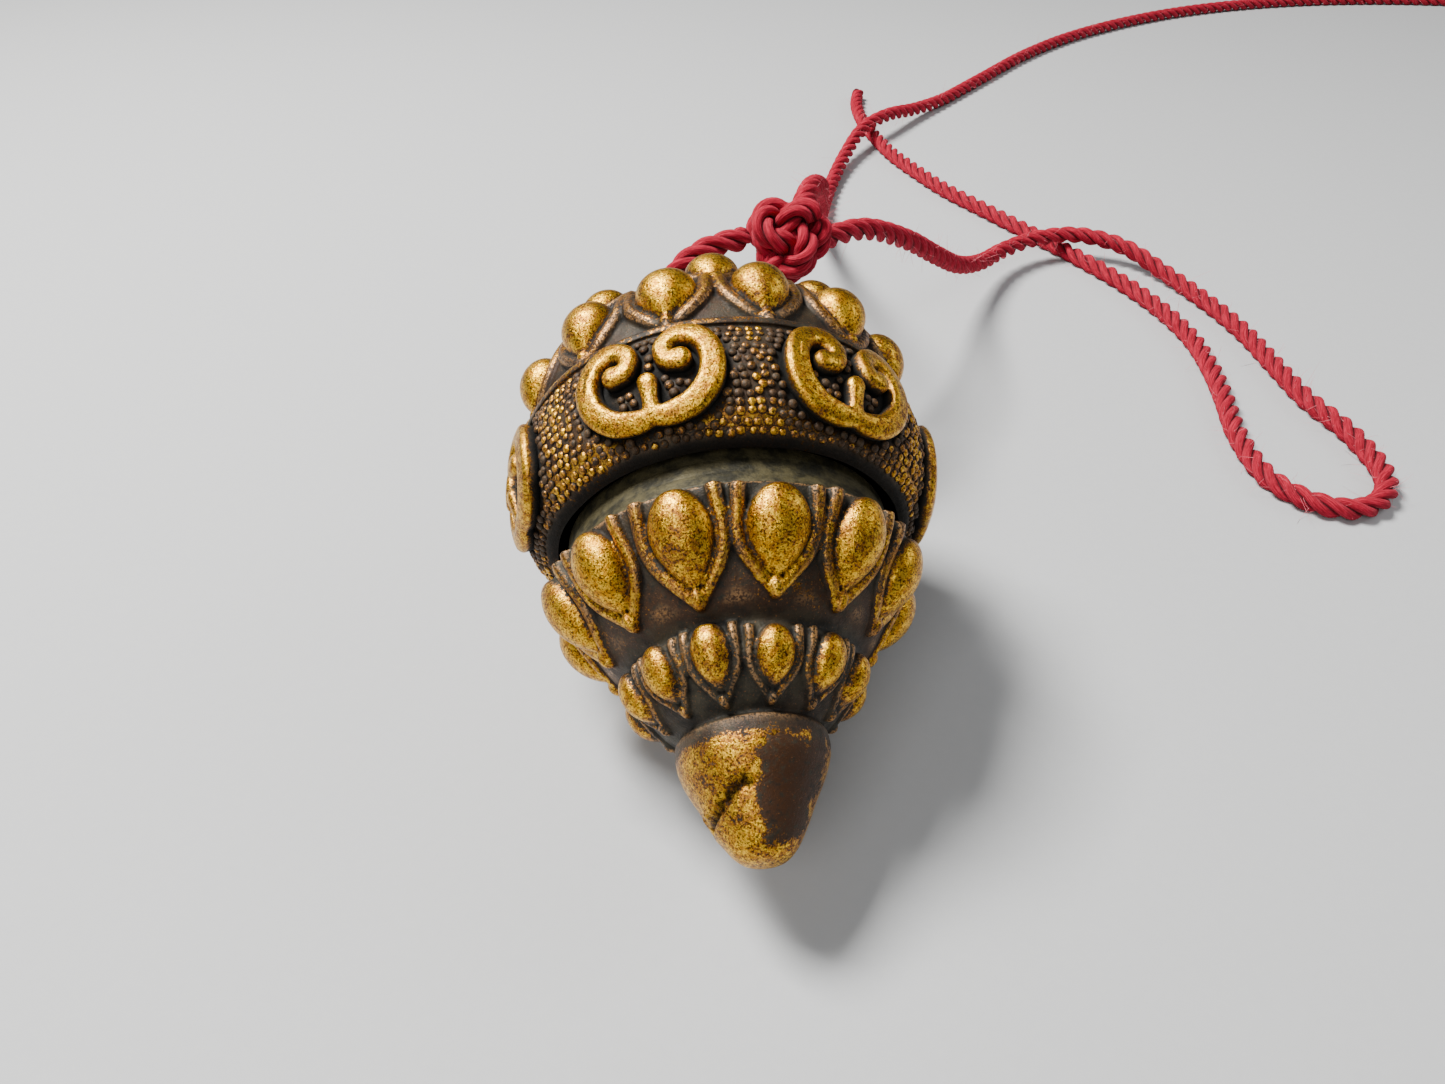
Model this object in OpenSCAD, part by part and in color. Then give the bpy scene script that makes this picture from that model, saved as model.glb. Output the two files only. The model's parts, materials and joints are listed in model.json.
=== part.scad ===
// Pocket prayer wheel: a lotus-shaped brass body that turns on an eye pin
// under a crowned cap, lying on its side with its hanging cord beside it.
// Local frame of the wheel: +Z up the spin axis from the tip to the crown,
// zero at the lower rim of the cap, -Y towards the side that faces up.

/* [Pose] */
// Rise of the spin axis above the table, degrees
axis_tilt = 16.4; // [14:0.1:17]
// Height of the rim's centre above the table
rim_height = 12.68; // [12:0.01:14]
// Shift that centres the wheel's length on the origin
length_shift = -0.6; // [-3:0.05:3]

/* [Cap] */
// Radius of the cap's lower rim
rim_r = 11.8; // [11.4:0.1:12.4]
// Radius of the band at its widest
band_r = 13.9; // [13.2:0.1:14.4]
// Height of the mantra band
band_h = 8.2; // [7:0.1:9]
// How far the raised ornaments stand off the band
ornament_rise = 0.85; // [0.4:0.1:1.2]
// Height of the washer's seat in the crown's top above the rim
crown_top = 16.8; // [16.2:0.1:17.2]
// How far the crown's brim stands above that seat
brim_rise = 0.5; // [0.2:0.1:0.8]
// Petals in the crown's lower row
crown_petals = 13; // [11:1:14]
// Turn of the crown's lower row from the upward side, degrees
crown_turn = -1; // [-14:1:14]
// Petals in the crown's upper row
upper_petals = 8; // [6:1:9]
// Small petals round the crown's brim
brim_petals = 6; // [5:1:8]
// Wall of the cap casting
cap_wall = 1.4; // [1:0.1:1.8]

/* [Lotus body] */
// Depth of the large tier's sharp shoulder below the rim
shoulder_drop = 2.6; // [2.2:0.1:3]
// Radius of that shoulder
shoulder_r = 11.65; // [11.2:0.05:11.9]
// Petals on each lotus tier
tier_petals = 12; // [10:1:14]
// Turn of the petals from the upward side, degrees
petal_offset = 10; // [0:1:30]
// Length of the body below the rim
body_len = 20.9; // [19:0.1:23]
// Radius of the tip where it leaves the small tier
tip_r = 4.65; // [4.2:0.05:5]

/* [Bearing] */
// Radius of the axle
axle_r = 1.2; // [1:0.05:1.4]
// Radius of the axle's lower pivot
pivot_r = 0.8; // [0.6:0.05:0.9]
// Radial running clearance in both bushes
running_gap = 0.05; // [0.02:0.01:0.1]
// Thickness of each thrust washer
washer_t = 0.4; // [0.3:0.05:0.5]
// Outer radius of the eye that the cord goes through
eye_r = 2.5; // [2.3:0.1:3]
// Radius of the eye's hole
eye_hole_r = 1.3; // [1.2:0.05:1.5]

/* [Scroll] */
// Radius of the rolled scroll
scroll_r = 5.2; // [4:0.1:5.4]
// Wall of the core tube
core_wall = 0.5; // [0.4:0.05:0.7]
// Thickness of the cloth round the scroll
cloth_t = 0.3; // [0.2:0.05:0.4]

/* [Cord] */
// Diameter of the twisted cord
cord_d = 2.0; // [1.8:0.1:2.2]

/* [Hidden] */
$fn = 64;

// Heights along the axis, worked out from the bearing stack.
neck_top = 0.6;
flange_t = 0.4;
stack_gap = 0.05;
bush_top = neck_top + flange_t;
upper_washer_z = bush_top + stack_gap;
boss_z = upper_washer_z + washer_t;
bush_bottom = -1.3;
lower_washer_top = bush_bottom - stack_gap;
clip_t = 0.5;
clip_top = lower_washer_top - washer_t;
clip_bottom = clip_top - clip_t;
groove_r = axle_r - 0.3;
clip_r = 2.4;
washer_r = 2.8;
lower_washer_r = 2.6;
boss_r = 3.2;
bush_r = 2;
flange_r = 3;
cup_r = 1.6;
cup_wide_r = 5.9;
cup_wide_z = [-8.2, -9.2];
cup_floor_r = 5.3;
floor_z = -9.8;
cup_bottom = -12.4;
cup_floor_t = 0.4;
pivot_top = floor_z + 0.5;
pivot_bottom = cup_bottom + cup_floor_t + 0.2;
core_r = axle_r + 0.3 + core_wall;
core_top = clip_bottom - 0.35;
plate_seat = -3.6;
plate_r = shoulder_r - 0.35;
plate_t = 1.2;
plate_floor = neck_top - plate_t;
spigot_r = 9.8;
spigot_inner_r = 9.2;
ornament_z = 4.3;
ornament_low = 1.2;
stroke = 1.5;
volute_r = 2.0;
volute_x = 3.1;
volute_bore = volute_r - 0.62 * stroke;
volute_mouth = [2.4, 2.2];
bud_r = 0.8;
bud_at = [0.2, -1.7];
heart_r = 1.15;
heart_z = -0.4;
eye_t = 1.6;
eye_neck = 0.6;
eye_z = crown_top + washer_t + eye_r;
scroll_foot = floor_z + 0.4;
scroll_top = -3.4;
cloth_foot = floor_z + 0.8;
cloth_top = scroll_top - 0.4;
tie_r = 0.14;
TIE_AT = [-8, -5.2];
packing_r = [3.8, 5.2];
cord_r = cord_d / 2;

// Past a face, so that a cut leaves no skin.
over = 1;
// Turn of the brim's petals from the upward side, degrees.
brim_turn = 25;

// Where the six raised ornaments sit, degrees round from the upward side.
// They are spaced by hand on the casting, so the steps are not equal.
ORNAMENT_AT = [-79, -20, 32, 90, 148, 212];

// Petal bosses: distance of the middle from the axis, its height, boss radius.
CROWN_PETAL = [11.6, 11, 2.4];
UPPER_PETAL = [8.6, 14.6, 2.1];
BRIM_PETAL = [5.6, 16.3, 1.5];
LARGE_PETAL = [9.75, -3.9, 2.35];
LARGE_POINT = [9.1, -5.9, 1.3];
SMALL_PETAL = [6, -10.7, 1.5];
SMALL_POINT = [5.3, -12, 0.9];

// Outlines turned about the axis, each point [radius, height].
CAP_OUTSIDE = [
    [rim_r - 0.5, 0], [rim_r, 0.1], [rim_r + 0.6, 0.6], [rim_r + 1.3, 1.4],
    [band_r - 0.3, 2.7], [band_r, 4.5], [band_r - 0.15, 6.4],
    [band_r - 0.45, band_h - 0.7], [band_r - 0.25, band_h - 0.5],
    [band_r - 0.35, band_h], [band_r - 1.1, band_h + 0.4],
    [12.7, 10.2], [12.2, 12.1], [11.1, 14.1], [9.1, 15.9], [6.6, 17],
    [4.5, crown_top + brim_rise], [3.5, crown_top + 0.15], [3, crown_top]];
CAP_INSIDE = [
    [boss_r, boss_z], [boss_r, crown_top - 2.2], [7.2, crown_top - 3],
    [9.4, 12.8], [10.7, 11], [band_r - cap_wall - 0.5, 8],
    [band_r - cap_wall, 5], [band_r - cap_wall - 0.3, 2.6],
    [rim_r - 0.5, 0.5]];
LOTUS_OUTSIDE = [
    [0, -body_len], [1.1, 0.15 - body_len], [1.8, 0.65 - body_len],
    [2.35, 1.4 - body_len], [2.9, 2.4 - body_len], [3.45, 3.5 - body_len],
    [4.0, 4.5 - body_len], [4.45, 5.5 - body_len], [tip_r, 6.4 - body_len],
    [tip_r - 0.02, -13.7], [tip_r - 0.25, -13.3], [5.2, -12.6], [6.3, -11.3],
    [6.95, -10.2], [7.15, -9.5], [7.1, -9.1], [7.35, -8.8], [8.3, -8],
    [9.3, -6.6], [10.3, -5.1], [11.1, -3.8], [11.5, -3.1],
    [shoulder_r, -shoulder_drop]];
NECK_OUTSIDE = [
    [plate_r, -shoulder_drop], [plate_r - 0.1, -2.2], [10.85, -1.3],
    [10.65, -0.3], [10.6, neck_top]];

// A ring turned about the axis: inner and outer radius, bottom and top.
module ring(r_in, r_out, z0, z1) {
    rotate_extrude() translate([r_in, z0]) square([r_out - r_in, z1 - z0]);
}

// Puts a piece built round the spin axis into its lying pose.
module lying() {
    translate([0, length_shift, rim_height])
        rotate([axis_tilt - 90, 0, 0]) children();
}

// Turns a piece built on +X so that it sits at an angle from the upward side.
module around(angle) {
    rotate([0, 0, angle - 90]) children();
}

// One round boss on +X, from its row in the petal list.
module boss(petal) {
    translate([petal[0], 0, petal[1]]) sphere(petal[2]);
}

// Flat outline of one raised scroll ornament, about 10.2 wide and 4.5 high:
// two volutes that open inwards at the bottom, their buds, and a heart stem.
module ornament_outline() {
    for (side = [-1, 1])
        translate([side * volute_x, 0]) {
            difference() {
                circle(volute_r);
                circle(volute_bore);
                translate([side > 0 ? -volute_mouth[0] : 0, -volute_mouth[0]])
                    square(volute_mouth);
            }
            translate([side * bud_at[0], bud_at[1]]) circle(bud_r);
        }
    translate([0, heart_z]) circle(heart_r);
    translate([-stroke / 2, heart_z]) square([stroke, volute_r - heart_z]);
}

module ornament(angle) {
    around(angle)
        translate([rim_r / 2, 0, ornament_z])
            rotate([90, 0, 90]) linear_extrude(band_r) ornament_outline();
}

// Radial stand-off of a turned outline, for the faces of the ornaments.
function stand_off(outline, rise) = [for (p = outline) [p[0] + rise, p[1]]];

module cap_shell() {
    color("darkgoldenrod") lying() {
        difference() {
            union() {
                rotate_extrude() polygon(concat(
                    [[0, 0.6]], CAP_OUTSIDE, [[0, crown_top]]));
                intersection() {
                    union() for (a = ORNAMENT_AT) ornament(a);
                    rotate_extrude() polygon(concat(
                        [[0, ornament_low], [rim_r + 1.1, ornament_low]],
                        stand_off([for (i = [4:6]) CAP_OUTSIDE[i]],
                                  ornament_rise),
                        [[band_r - 0.4, band_h - 0.5], [0, band_h - 0.5]]));
                }
                for (i = [0:crown_petals - 1])
                    around(crown_turn + (i + 0.5) * 360 / crown_petals)
                        boss(CROWN_PETAL);
                for (i = [0:upper_petals - 1])
                    around(i * 360 / upper_petals) boss(UPPER_PETAL);
                for (i = [0:brim_petals - 1])
                    around(brim_turn + i * 360 / brim_petals)
                        boss(BRIM_PETAL);
            }
            rotate_extrude() polygon(concat(
                [[boss_r, -over]], CAP_INSIDE, [[rim_r - 0.5, -over]]));
            translate([0, 0, -over])
                cylinder(h = boss_z + over, r = boss_r + 0.1);
            cylinder(h = crown_top + over, r = axle_r);
        }
    }
}

module eye_pin() {
    color("goldenrod") lying() difference() {
        union() {
            rotate_extrude() polygon([
                [0, pivot_bottom], [pivot_r, pivot_bottom],
                [pivot_r, pivot_top], [axle_r, pivot_top],
                [axle_r, clip_bottom], [groove_r, clip_bottom],
                [groove_r, clip_top], [axle_r, clip_top],
                [axle_r, eye_z - eye_r + eye_neck],
                [0, eye_z - eye_r + eye_neck]]);
            translate([-eye_t / 2, 0, eye_z]) rotate([0, 90, 0])
                cylinder(h = eye_t, r = eye_r);
        }
        translate([-eye_t / 2 - over, 0, eye_z]) rotate([0, 90, 0])
            cylinder(h = eye_t + 2 * over, r = eye_hole_r);
    }
}

module crown_washer() {
    color("darkgoldenrod") lying()
        ring(axle_r, washer_r, crown_top, crown_top + washer_t);
}

module upper_thrust_washer() {
    color("silver") lying()
        ring(axle_r, washer_r, upper_washer_z, boss_z);
}

module lower_thrust_washer() {
    color("silver") lying()
        ring(axle_r, lower_washer_r, clip_top, lower_washer_top);
}

module retaining_clip() {
    color("dimgray") lying() difference() {
        ring(groove_r, clip_r, clip_bottom, clip_top);
        translate([-0.8, -clip_r - over, clip_bottom - over])
            cube([1.6, clip_r + over, clip_t + 2 * over]);
    }
}

module lotus_shell() {
    color("darkgoldenrod") lying() difference() {
        union() {
            rotate_extrude() polygon(concat(
                LOTUS_OUTSIDE, [[0, -shoulder_drop]]));
            for (i = [0:tier_petals - 1])
                around(petal_offset + i * 360 / tier_petals)
                    for (petal = [LARGE_PETAL, LARGE_POINT,
                                  SMALL_PETAL, SMALL_POINT])
                        boss(petal);
        }
        rotate_extrude() polygon([
            [0, 1], [shoulder_r + 2, 1], [shoulder_r + 2, -shoulder_drop],
            [spigot_r, -shoulder_drop], [spigot_r, plate_seat],
            [spigot_inner_r, plate_seat], [cup_wide_r, cup_wide_z[0]],
            [cup_wide_r, cup_wide_z[1]], [cup_floor_r, floor_z],
            [cup_r, floor_z], [cup_r, cup_bottom], [0, cup_bottom]]);
    }
}

module neck_plate() {
    color("darkkhaki") lying() difference() {
        rotate_extrude() polygon(concat(
            [[bush_r, plate_seat], [spigot_r, plate_seat],
             [spigot_r, -shoulder_drop]],
            NECK_OUTSIDE, [[bush_r, neck_top]]));
        rotate_extrude() polygon([
            [flange_r, plate_seat - over], [flange_r, bush_bottom],
            [flange_r + 0.6, plate_floor], [7.8, plate_floor],
            [8.6, plate_seat - over]]);
        translate([0, 0, plate_seat - over])
            cylinder(h = bush_bottom - plate_seat + over, r = flange_r + 0.1);
    }
}

module upper_bush() {
    color("peru") lying() difference() {
        union() {
            ring(axle_r + running_gap, bush_r, bush_bottom, neck_top);
            ring(axle_r + running_gap, flange_r, neck_top, bush_top);
        }
        translate([0, 0, bush_bottom - over])
            cylinder(h = bush_top - bush_bottom + 2 * over,
                     r = axle_r + running_gap);
    }
}

module lower_bush() {
    color("peru") lying() difference() {
        translate([0, 0, cup_bottom])
            cylinder(h = floor_z - cup_bottom, r = cup_r);
        translate([0, 0, cup_bottom + cup_floor_t])
            cylinder(h = floor_z - cup_bottom + over,
                     r = pivot_r + running_gap);
    }
}

module scroll_core() {
    color("burlywood") lying()
        ring(core_r - core_wall, core_r, floor_z, core_top);
}

module prayer_scroll() {
    color("cornsilk") lying()
        ring(core_r, scroll_r, scroll_foot, scroll_top);
}

module scroll_cloth() {
    color("gold") lying()
        ring(scroll_r, scroll_r + cloth_t, cloth_foot, cloth_top);
}

module scroll_ties() {
    color("crimson") lying() for (z = TIE_AT)
        translate([0, 0, z]) rotate_extrude()
            translate([scroll_r + cloth_t + tie_r, 0]) circle(tie_r);
}

module packing_ring() {
    color("tan") lying()
        ring(packing_r[0], packing_r[1], scroll_top, plate_floor);
}

// A cord swept along a route as one closed skin with eight flat sides.
CORD_SIDES = 8;
function unit(v) = v / norm(v);
function heading(route, i) = unit(
    route[min(i + 1, len(route) - 1)] - route[max(i - 1, 0)]);
// Two directions square to the heading, kept level so the skin never twists.
function level_side(t) = unit(cross(t, [0, 0, 1]));
function ring_points(p, t, r) =
    let (u = level_side(t), v = cross(u, t))
    [for (k = [0:CORD_SIDES - 1])
        let (a = (k + 0.5) * 360 / CORD_SIDES)
        p + r * (cos(a) * u + sin(a) * v)];

module cord_tube(route, r) {
    n = len(route);
    points = [for (i = [0:n - 1])
        each ring_points(route[i], heading(route, i), r)];
    sides = [for (i = [0:n - 2], k = [0:CORD_SIDES - 1])
        let (a = i * CORD_SIDES, b = a + CORD_SIDES,
             j = (k + 1) % CORD_SIDES)
        each [[a + k, a + j, b + j], [a + k, b + j, b + k]]];
    start = [for (k = [0:CORD_SIDES - 1]) CORD_SIDES - 1 - k];
    finish = [for (k = [0:CORD_SIDES - 1]) (n - 1) * CORD_SIDES + k];
    polyhedron(points, concat(sides, [start, finish]));
}

// Middle of the knot, just behind the eye.
KNOT_AT = [8, 28.5, 21];
knot_r = 3.1;

// The loop through the eye, from the knot and back into it.
LOOP_ROUTE = [
    [7, 27.2, 20], [5.4, 23.8, 19], [3.6, 20.6, 18.5], [1.6, 18.6, 18.3],
    [0, 18.3, 18.25], [-1.6, 18.8, 18.5], [-2.5, 20.4, 19.5],
    [-2.1, 22.6, 20.7], [0.4, 25.2, 21.7], [4.6, 27.4, 21.9]];

// Down from the knot to the table, over the short tail and away to the right.
LONG_ROUTE = [
    [9, 30, 22.3], [11, 36, 22], [13, 42.5, 19.5], [14.5, 49.5, 15.5],
    [16, 56.5, 11], [17.5, 63.5, 6.8], [19, 71, 3.4], [21, 79, 1.6],
    [23.5, 87, 1.1], [27, 95.5, 1.8], [31, 102.5, 3.1], [36, 108, 3.1],
    [42, 114, 1.8], [49, 121, 1], [58, 130.5, 1], [69, 142, 1],
    [81, 152, 1], [95, 160.5, 1], [110, 167, 1], [126, 171, 1],
    [142, 172.5, 1], [158, 171.5, 1], [172, 168.5, 1], [182, 164.5, 1]];

// Down to the table, forward to a hairpin and back under itself.
SHORT_ROUTE = [
    [10, 29.5, 20], [15.5, 34, 19], [21, 39, 15.5], [26, 44.5, 11],
    [30.5, 50, 7], [35, 55.5, 4.4], [39.5, 60.5, 3.3], [44.5, 63.5, 3.1],
    [50, 64, 3.1], [55, 61.5, 2.5], [58.5, 56.5, 1.3], [60.5, 50, 1],
    [61.5, 43, 1], [61.5, 36, 1], [61.5, 29.5, 1], [62.5, 24, 1],
    [62.4, 18.6, 1], [61.3, 15.3, 1], [59.2, 13.2, 1], [56.8, 12.5, 1],
    [54.4, 13.2, 1], [52.3, 15.3, 1], [51.2, 18.6, 1], [51.7, 24.5, 1],
    [53.3, 30.5, 1], [54.6, 36.5, 1], [55.2, 42.5, 1], [54.5, 49, 1],
    [52.5, 56, 1], [49.5, 63, 1], [46, 70, 1], [42.5, 77, 1], [39, 84, 1],
    [36.5, 91, 1], [34.5, 98, 1], [33.5, 105, 1], [33, 112, 1],
    [33.5, 119, 1], [35, 125, 1]];

module cord_loop() {
    color("crimson") cord_tube(LOOP_ROUTE, cord_r);
}

module cord_knot() {
    color("crimson") translate(KNOT_AT) hull() {
        for (side = [-1, 1])
            translate([side * 1.1, side * 0.4, -side * 0.5])
                sphere(knot_r, $fn = 28);
        translate([0.4, 0.3, 0.7]) sphere(knot_r, $fn = 28);
    }
}

module cord_long_tail() {
    color("crimson") cord_tube(LONG_ROUTE, cord_r);
}

module cord_short_tail() {
    color("crimson") cord_tube(SHORT_ROUTE, cord_r);
}

cap_shell();
eye_pin();
crown_washer();
upper_thrust_washer();
lower_thrust_washer();
retaining_clip();
lotus_shell();
neck_plate();
upper_bush();
lower_bush();
scroll_core();
prayer_scroll();
scroll_cloth();
scroll_ties();
packing_ring();
cord_loop();
cord_knot();
cord_long_tail();
cord_short_tail();
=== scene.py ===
"""Pocket prayer wheel of antiqued cast brass, lying on its side with its cord.

The castings are modelled in millimetres round the spin axis, +Z from the tip
to the crown and -Y towards the side that faces up, and are then laid down into
the frame's metres by Placement.
"""

from __future__ import annotations

import json
import logging
import math
from dataclasses import dataclass
from enum import Enum
from typing import Sequence

import bpy
import numpy as np
from mathutils import Matrix, Vector

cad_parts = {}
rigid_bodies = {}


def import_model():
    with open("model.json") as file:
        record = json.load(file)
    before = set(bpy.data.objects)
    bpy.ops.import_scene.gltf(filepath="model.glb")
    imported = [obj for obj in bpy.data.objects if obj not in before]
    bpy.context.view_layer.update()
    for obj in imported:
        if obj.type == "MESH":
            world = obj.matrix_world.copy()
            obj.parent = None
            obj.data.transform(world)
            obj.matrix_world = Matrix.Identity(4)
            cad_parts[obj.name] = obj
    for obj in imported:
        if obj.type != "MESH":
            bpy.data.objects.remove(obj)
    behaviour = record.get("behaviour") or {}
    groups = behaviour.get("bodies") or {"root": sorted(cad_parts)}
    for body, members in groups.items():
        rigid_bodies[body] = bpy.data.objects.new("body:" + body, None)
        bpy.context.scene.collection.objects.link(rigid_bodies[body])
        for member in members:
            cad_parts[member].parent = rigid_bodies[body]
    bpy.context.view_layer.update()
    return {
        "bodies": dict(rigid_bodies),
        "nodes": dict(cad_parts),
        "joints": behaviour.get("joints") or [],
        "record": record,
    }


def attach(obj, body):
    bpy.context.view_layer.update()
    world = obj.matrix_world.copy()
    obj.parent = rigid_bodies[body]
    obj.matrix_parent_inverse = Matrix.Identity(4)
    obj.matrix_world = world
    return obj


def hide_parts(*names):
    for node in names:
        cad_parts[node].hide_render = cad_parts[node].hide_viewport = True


LOG = logging.getLogger("prayer_wheel")
MM = 0.001
Point = tuple[float, float, float]


class Body(Enum):
    """The two bodies of the wheel."""

    CAP = "cap"
    LOTUS = "lotus_body"


# --------------------------------------------------------------- bench tools


def deselect() -> None:
    """Leaves edit mode and deselects every object."""
    if bpy.context.object and bpy.context.object.mode != "OBJECT":
        bpy.ops.object.mode_set(mode="OBJECT")
    bpy.ops.object.select_all(action="DESELECT")


def pick(*pieces: bpy.types.Object) -> bpy.types.Object:
    """Selects the pieces alone and makes the first one active.

    Args:
        pieces: The objects to select.

    Returns:
        The first piece.
    """
    deselect()
    for piece in pieces:
        piece.select_set(True)
    bpy.context.view_layer.objects.active = pieces[0]
    return pieces[0]


def added(name: str) -> bpy.types.Object:
    """Names the primitive that has just been added.

    Args:
        name: The piece's name.

    Returns:
        The new object.
    """
    piece = bpy.context.object
    piece.name = piece.data.name = name
    return piece


def apply_modifier(piece: bpy.types.Object, kind: str, **settings: object) -> None:
    """Adds one modifier with its settings and applies it.

    Args:
        piece: The object to finish.
        kind: The modifier's type, such as "REMESH".
        settings: Attributes to set on the modifier.
    """
    pick(piece)
    modifier = piece.modifiers.new(kind.lower(), kind)
    for key, value in settings.items():
        setattr(modifier, key, value)
    bpy.ops.object.modifier_apply(modifier=modifier.name)


def joined(name: str, parts: Sequence[bpy.types.Object]) -> bpy.types.Object:
    """Joins parts into one mesh.

    Args:
        name: Name of the joined piece.
        parts: The objects to join.

    Returns:
        The joined object.
    """
    piece = pick(*parts)
    if len(parts) > 1:
        bpy.ops.object.join()
    piece.name = piece.data.name = name
    return piece


def copied(piece: bpy.types.Object) -> bpy.types.Object:
    """Copies a piece with a mesh of its own.

    Args:
        piece: The object to copy.

    Returns:
        The copy.
    """
    pick(piece)
    bpy.ops.object.duplicate(linked=False)
    return bpy.context.object


def coords(piece: bpy.types.Object) -> np.ndarray:
    """Reads a mesh's points as an array of rows.

    Args:
        piece: The mesh object.

    Returns:
        One row of x, y, z for each vertex.
    """
    flat = np.empty(len(piece.data.vertices) * 3)
    piece.data.vertices.foreach_get("co", flat)
    return flat.reshape(-1, 3)


def set_coords(piece: bpy.types.Object, points: np.ndarray) -> None:
    """Writes an array of rows back as a mesh's points.

    Args:
        piece: The mesh object.
        points: One row of x, y, z for each vertex.
    """
    piece.data.vertices.foreach_set("co", points.ravel())
    piece.data.update()


def set_marks(piece: bpy.types.Object, marks: dict[str, np.ndarray]) -> None:
    """Stores numbers from 0 to 1 for each vertex, for a finish to read.

    Args:
        piece: The mesh object.
        marks: The numbers of each attribute, by its name.
    """
    for name, values in marks.items():
        layer = piece.data.attributes.new(name, "FLOAT", "POINT")
        layer.data.foreach_set("value", np.clip(values, 0, 1).astype(np.float32))


def meshed(name: str, points: np.ndarray, faces: list[tuple[int, ...]]) -> bpy.types.Object:
    """Makes a mesh object from points and faces.

    Args:
        name: Name of the piece.
        points: Rows of x, y, z.
        faces: Indices of each face's points.

    Returns:
        The new object.
    """
    mesh = bpy.data.meshes.new(name)
    mesh.from_pydata(points.tolist(), [], faces)
    piece = bpy.data.objects.new(name, mesh)
    bpy.context.scene.collection.objects.link(piece)
    return piece


def smooth_shade(piece: bpy.types.Object, angle: float = 50.0) -> None:
    """Shades a piece smooth, apart from edges sharper than an angle.

    Args:
        piece: The mesh object.
        angle: Sharpest angle in degrees that is still shaded smooth.
    """
    pick(piece)
    bpy.ops.object.shade_smooth_by_angle(angle=math.radians(angle))


def face_out(piece: bpy.types.Object, weld: float = 1e-4) -> None:
    """Welds doubled points and turns every face outwards.

    Args:
        piece: The mesh object.
        weld: Distance under which points are merged.
    """
    pick(piece)
    bpy.ops.object.mode_set(mode="EDIT")
    bpy.ops.mesh.select_all(action="SELECT")
    bpy.ops.mesh.remove_doubles(threshold=weld)
    bpy.ops.mesh.normals_make_consistent(inside=False)
    bpy.ops.object.mode_set(mode="OBJECT")


def spline(points: Sequence[Sequence[float]], steps: int) -> np.ndarray:
    """Smooths a line of points into a curve that passes through all of them.

    Args:
        points: The points, in any number of dimensions.
        steps: Pieces that each span is cut into.

    Returns:
        The points along the curve.
    """
    given = np.asarray(points, float)
    ends = np.vstack([2 * given[0] - given[1], given, 2 * given[-1] - given[-2]])
    t = np.linspace(0, 1, steps, endpoint=False)[:, None]
    spans = []
    for a, b, c, d in zip(ends, ends[1:], ends[2:], ends[3:]):
        square, cube = 2 * a - 5 * b + 4 * c - d, 3 * b - a - 3 * c + d
        spans.append(0.5 * (2 * b + (c - a) * t + square * t**2 + cube * t**3))
    return np.vstack(spans + [given[-1:]])


def run_along(points: np.ndarray) -> np.ndarray:
    """Measures the way along a line of points.

    Args:
        points: The points of the line.

    Returns:
        The distance from the first point to each of them.
    """
    steps = np.linalg.norm(np.diff(points, axis=0), axis=1)
    return np.concatenate([[0], np.cumsum(steps)])


def even(points: np.ndarray, step: float) -> np.ndarray:
    """Spaces points evenly along a line.

    Args:
        points: The points of the line.
        step: Distance wanted between neighbours.

    Returns:
        The evenly spaced points, both ends kept.
    """
    run = run_along(points)
    at = np.linspace(0, run[-1], max(2, int(round(run[-1] / step)) + 1))
    return np.stack([np.interp(at, run, points[:, k]) for k in range(points.shape[1])], 1)


def smoothstep(low: float, high: float, values: np.ndarray) -> np.ndarray:
    """Rises smoothly from 0 at low to 1 at high.

    Args:
        low: Where the rise starts.
        high: Where it ends.
        values: The numbers to map.

    Returns:
        Numbers from 0 to 1.
    """
    t = np.clip((values - low) / (high - low), 0, 1)
    return t * t * (3 - 2 * t)


@dataclass(frozen=True)
class Placement:
    """Lays a piece modelled round the spin axis into the frame.

    Attributes:
        rim: Centre of the cap's rim, in metres.
        axis: Spin axis from the tip to the crown.
    """

    rim: Vector
    axis: Vector

    @classmethod
    def from_frame(cls, frame: dict) -> "Placement":
        """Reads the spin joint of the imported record.


        Returns:
            The placement.
        """
        joint = next(j for j in frame["record"]["behaviour"]["joints"])
        return cls(Vector(joint["pos_m"]), Vector(joint["axis"]).normalized())

    def matrix(self) -> Matrix:
        """Works out how a piece is laid down.

        Returns:
            The matrix from bench millimetres to the frame's metres.
        """
        tilt = -math.acos(max(-1.0, min(1.0, self.axis.z)))
        turn = Matrix.Rotation(tilt, 4, "X")
        return Matrix.Translation(self.rim) @ turn @ Matrix.Scale(MM, 4)

    def settle(self, piece: bpy.types.Object) -> bpy.types.Object:
        """Moves a finished piece into the frame, down to the table and no lower.

        Args:
            piece: The piece, modelled in millimetres.

        Returns:
            The same piece.
        """
        pick(piece)
        piece.matrix_world = self.matrix()
        bpy.ops.object.transform_apply(location=True, rotation=True, scale=True)
        points = coords(piece)
        points[:, 2] = np.maximum(points[:, 2], 0.0)
        set_coords(piece, points)
        return piece


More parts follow.
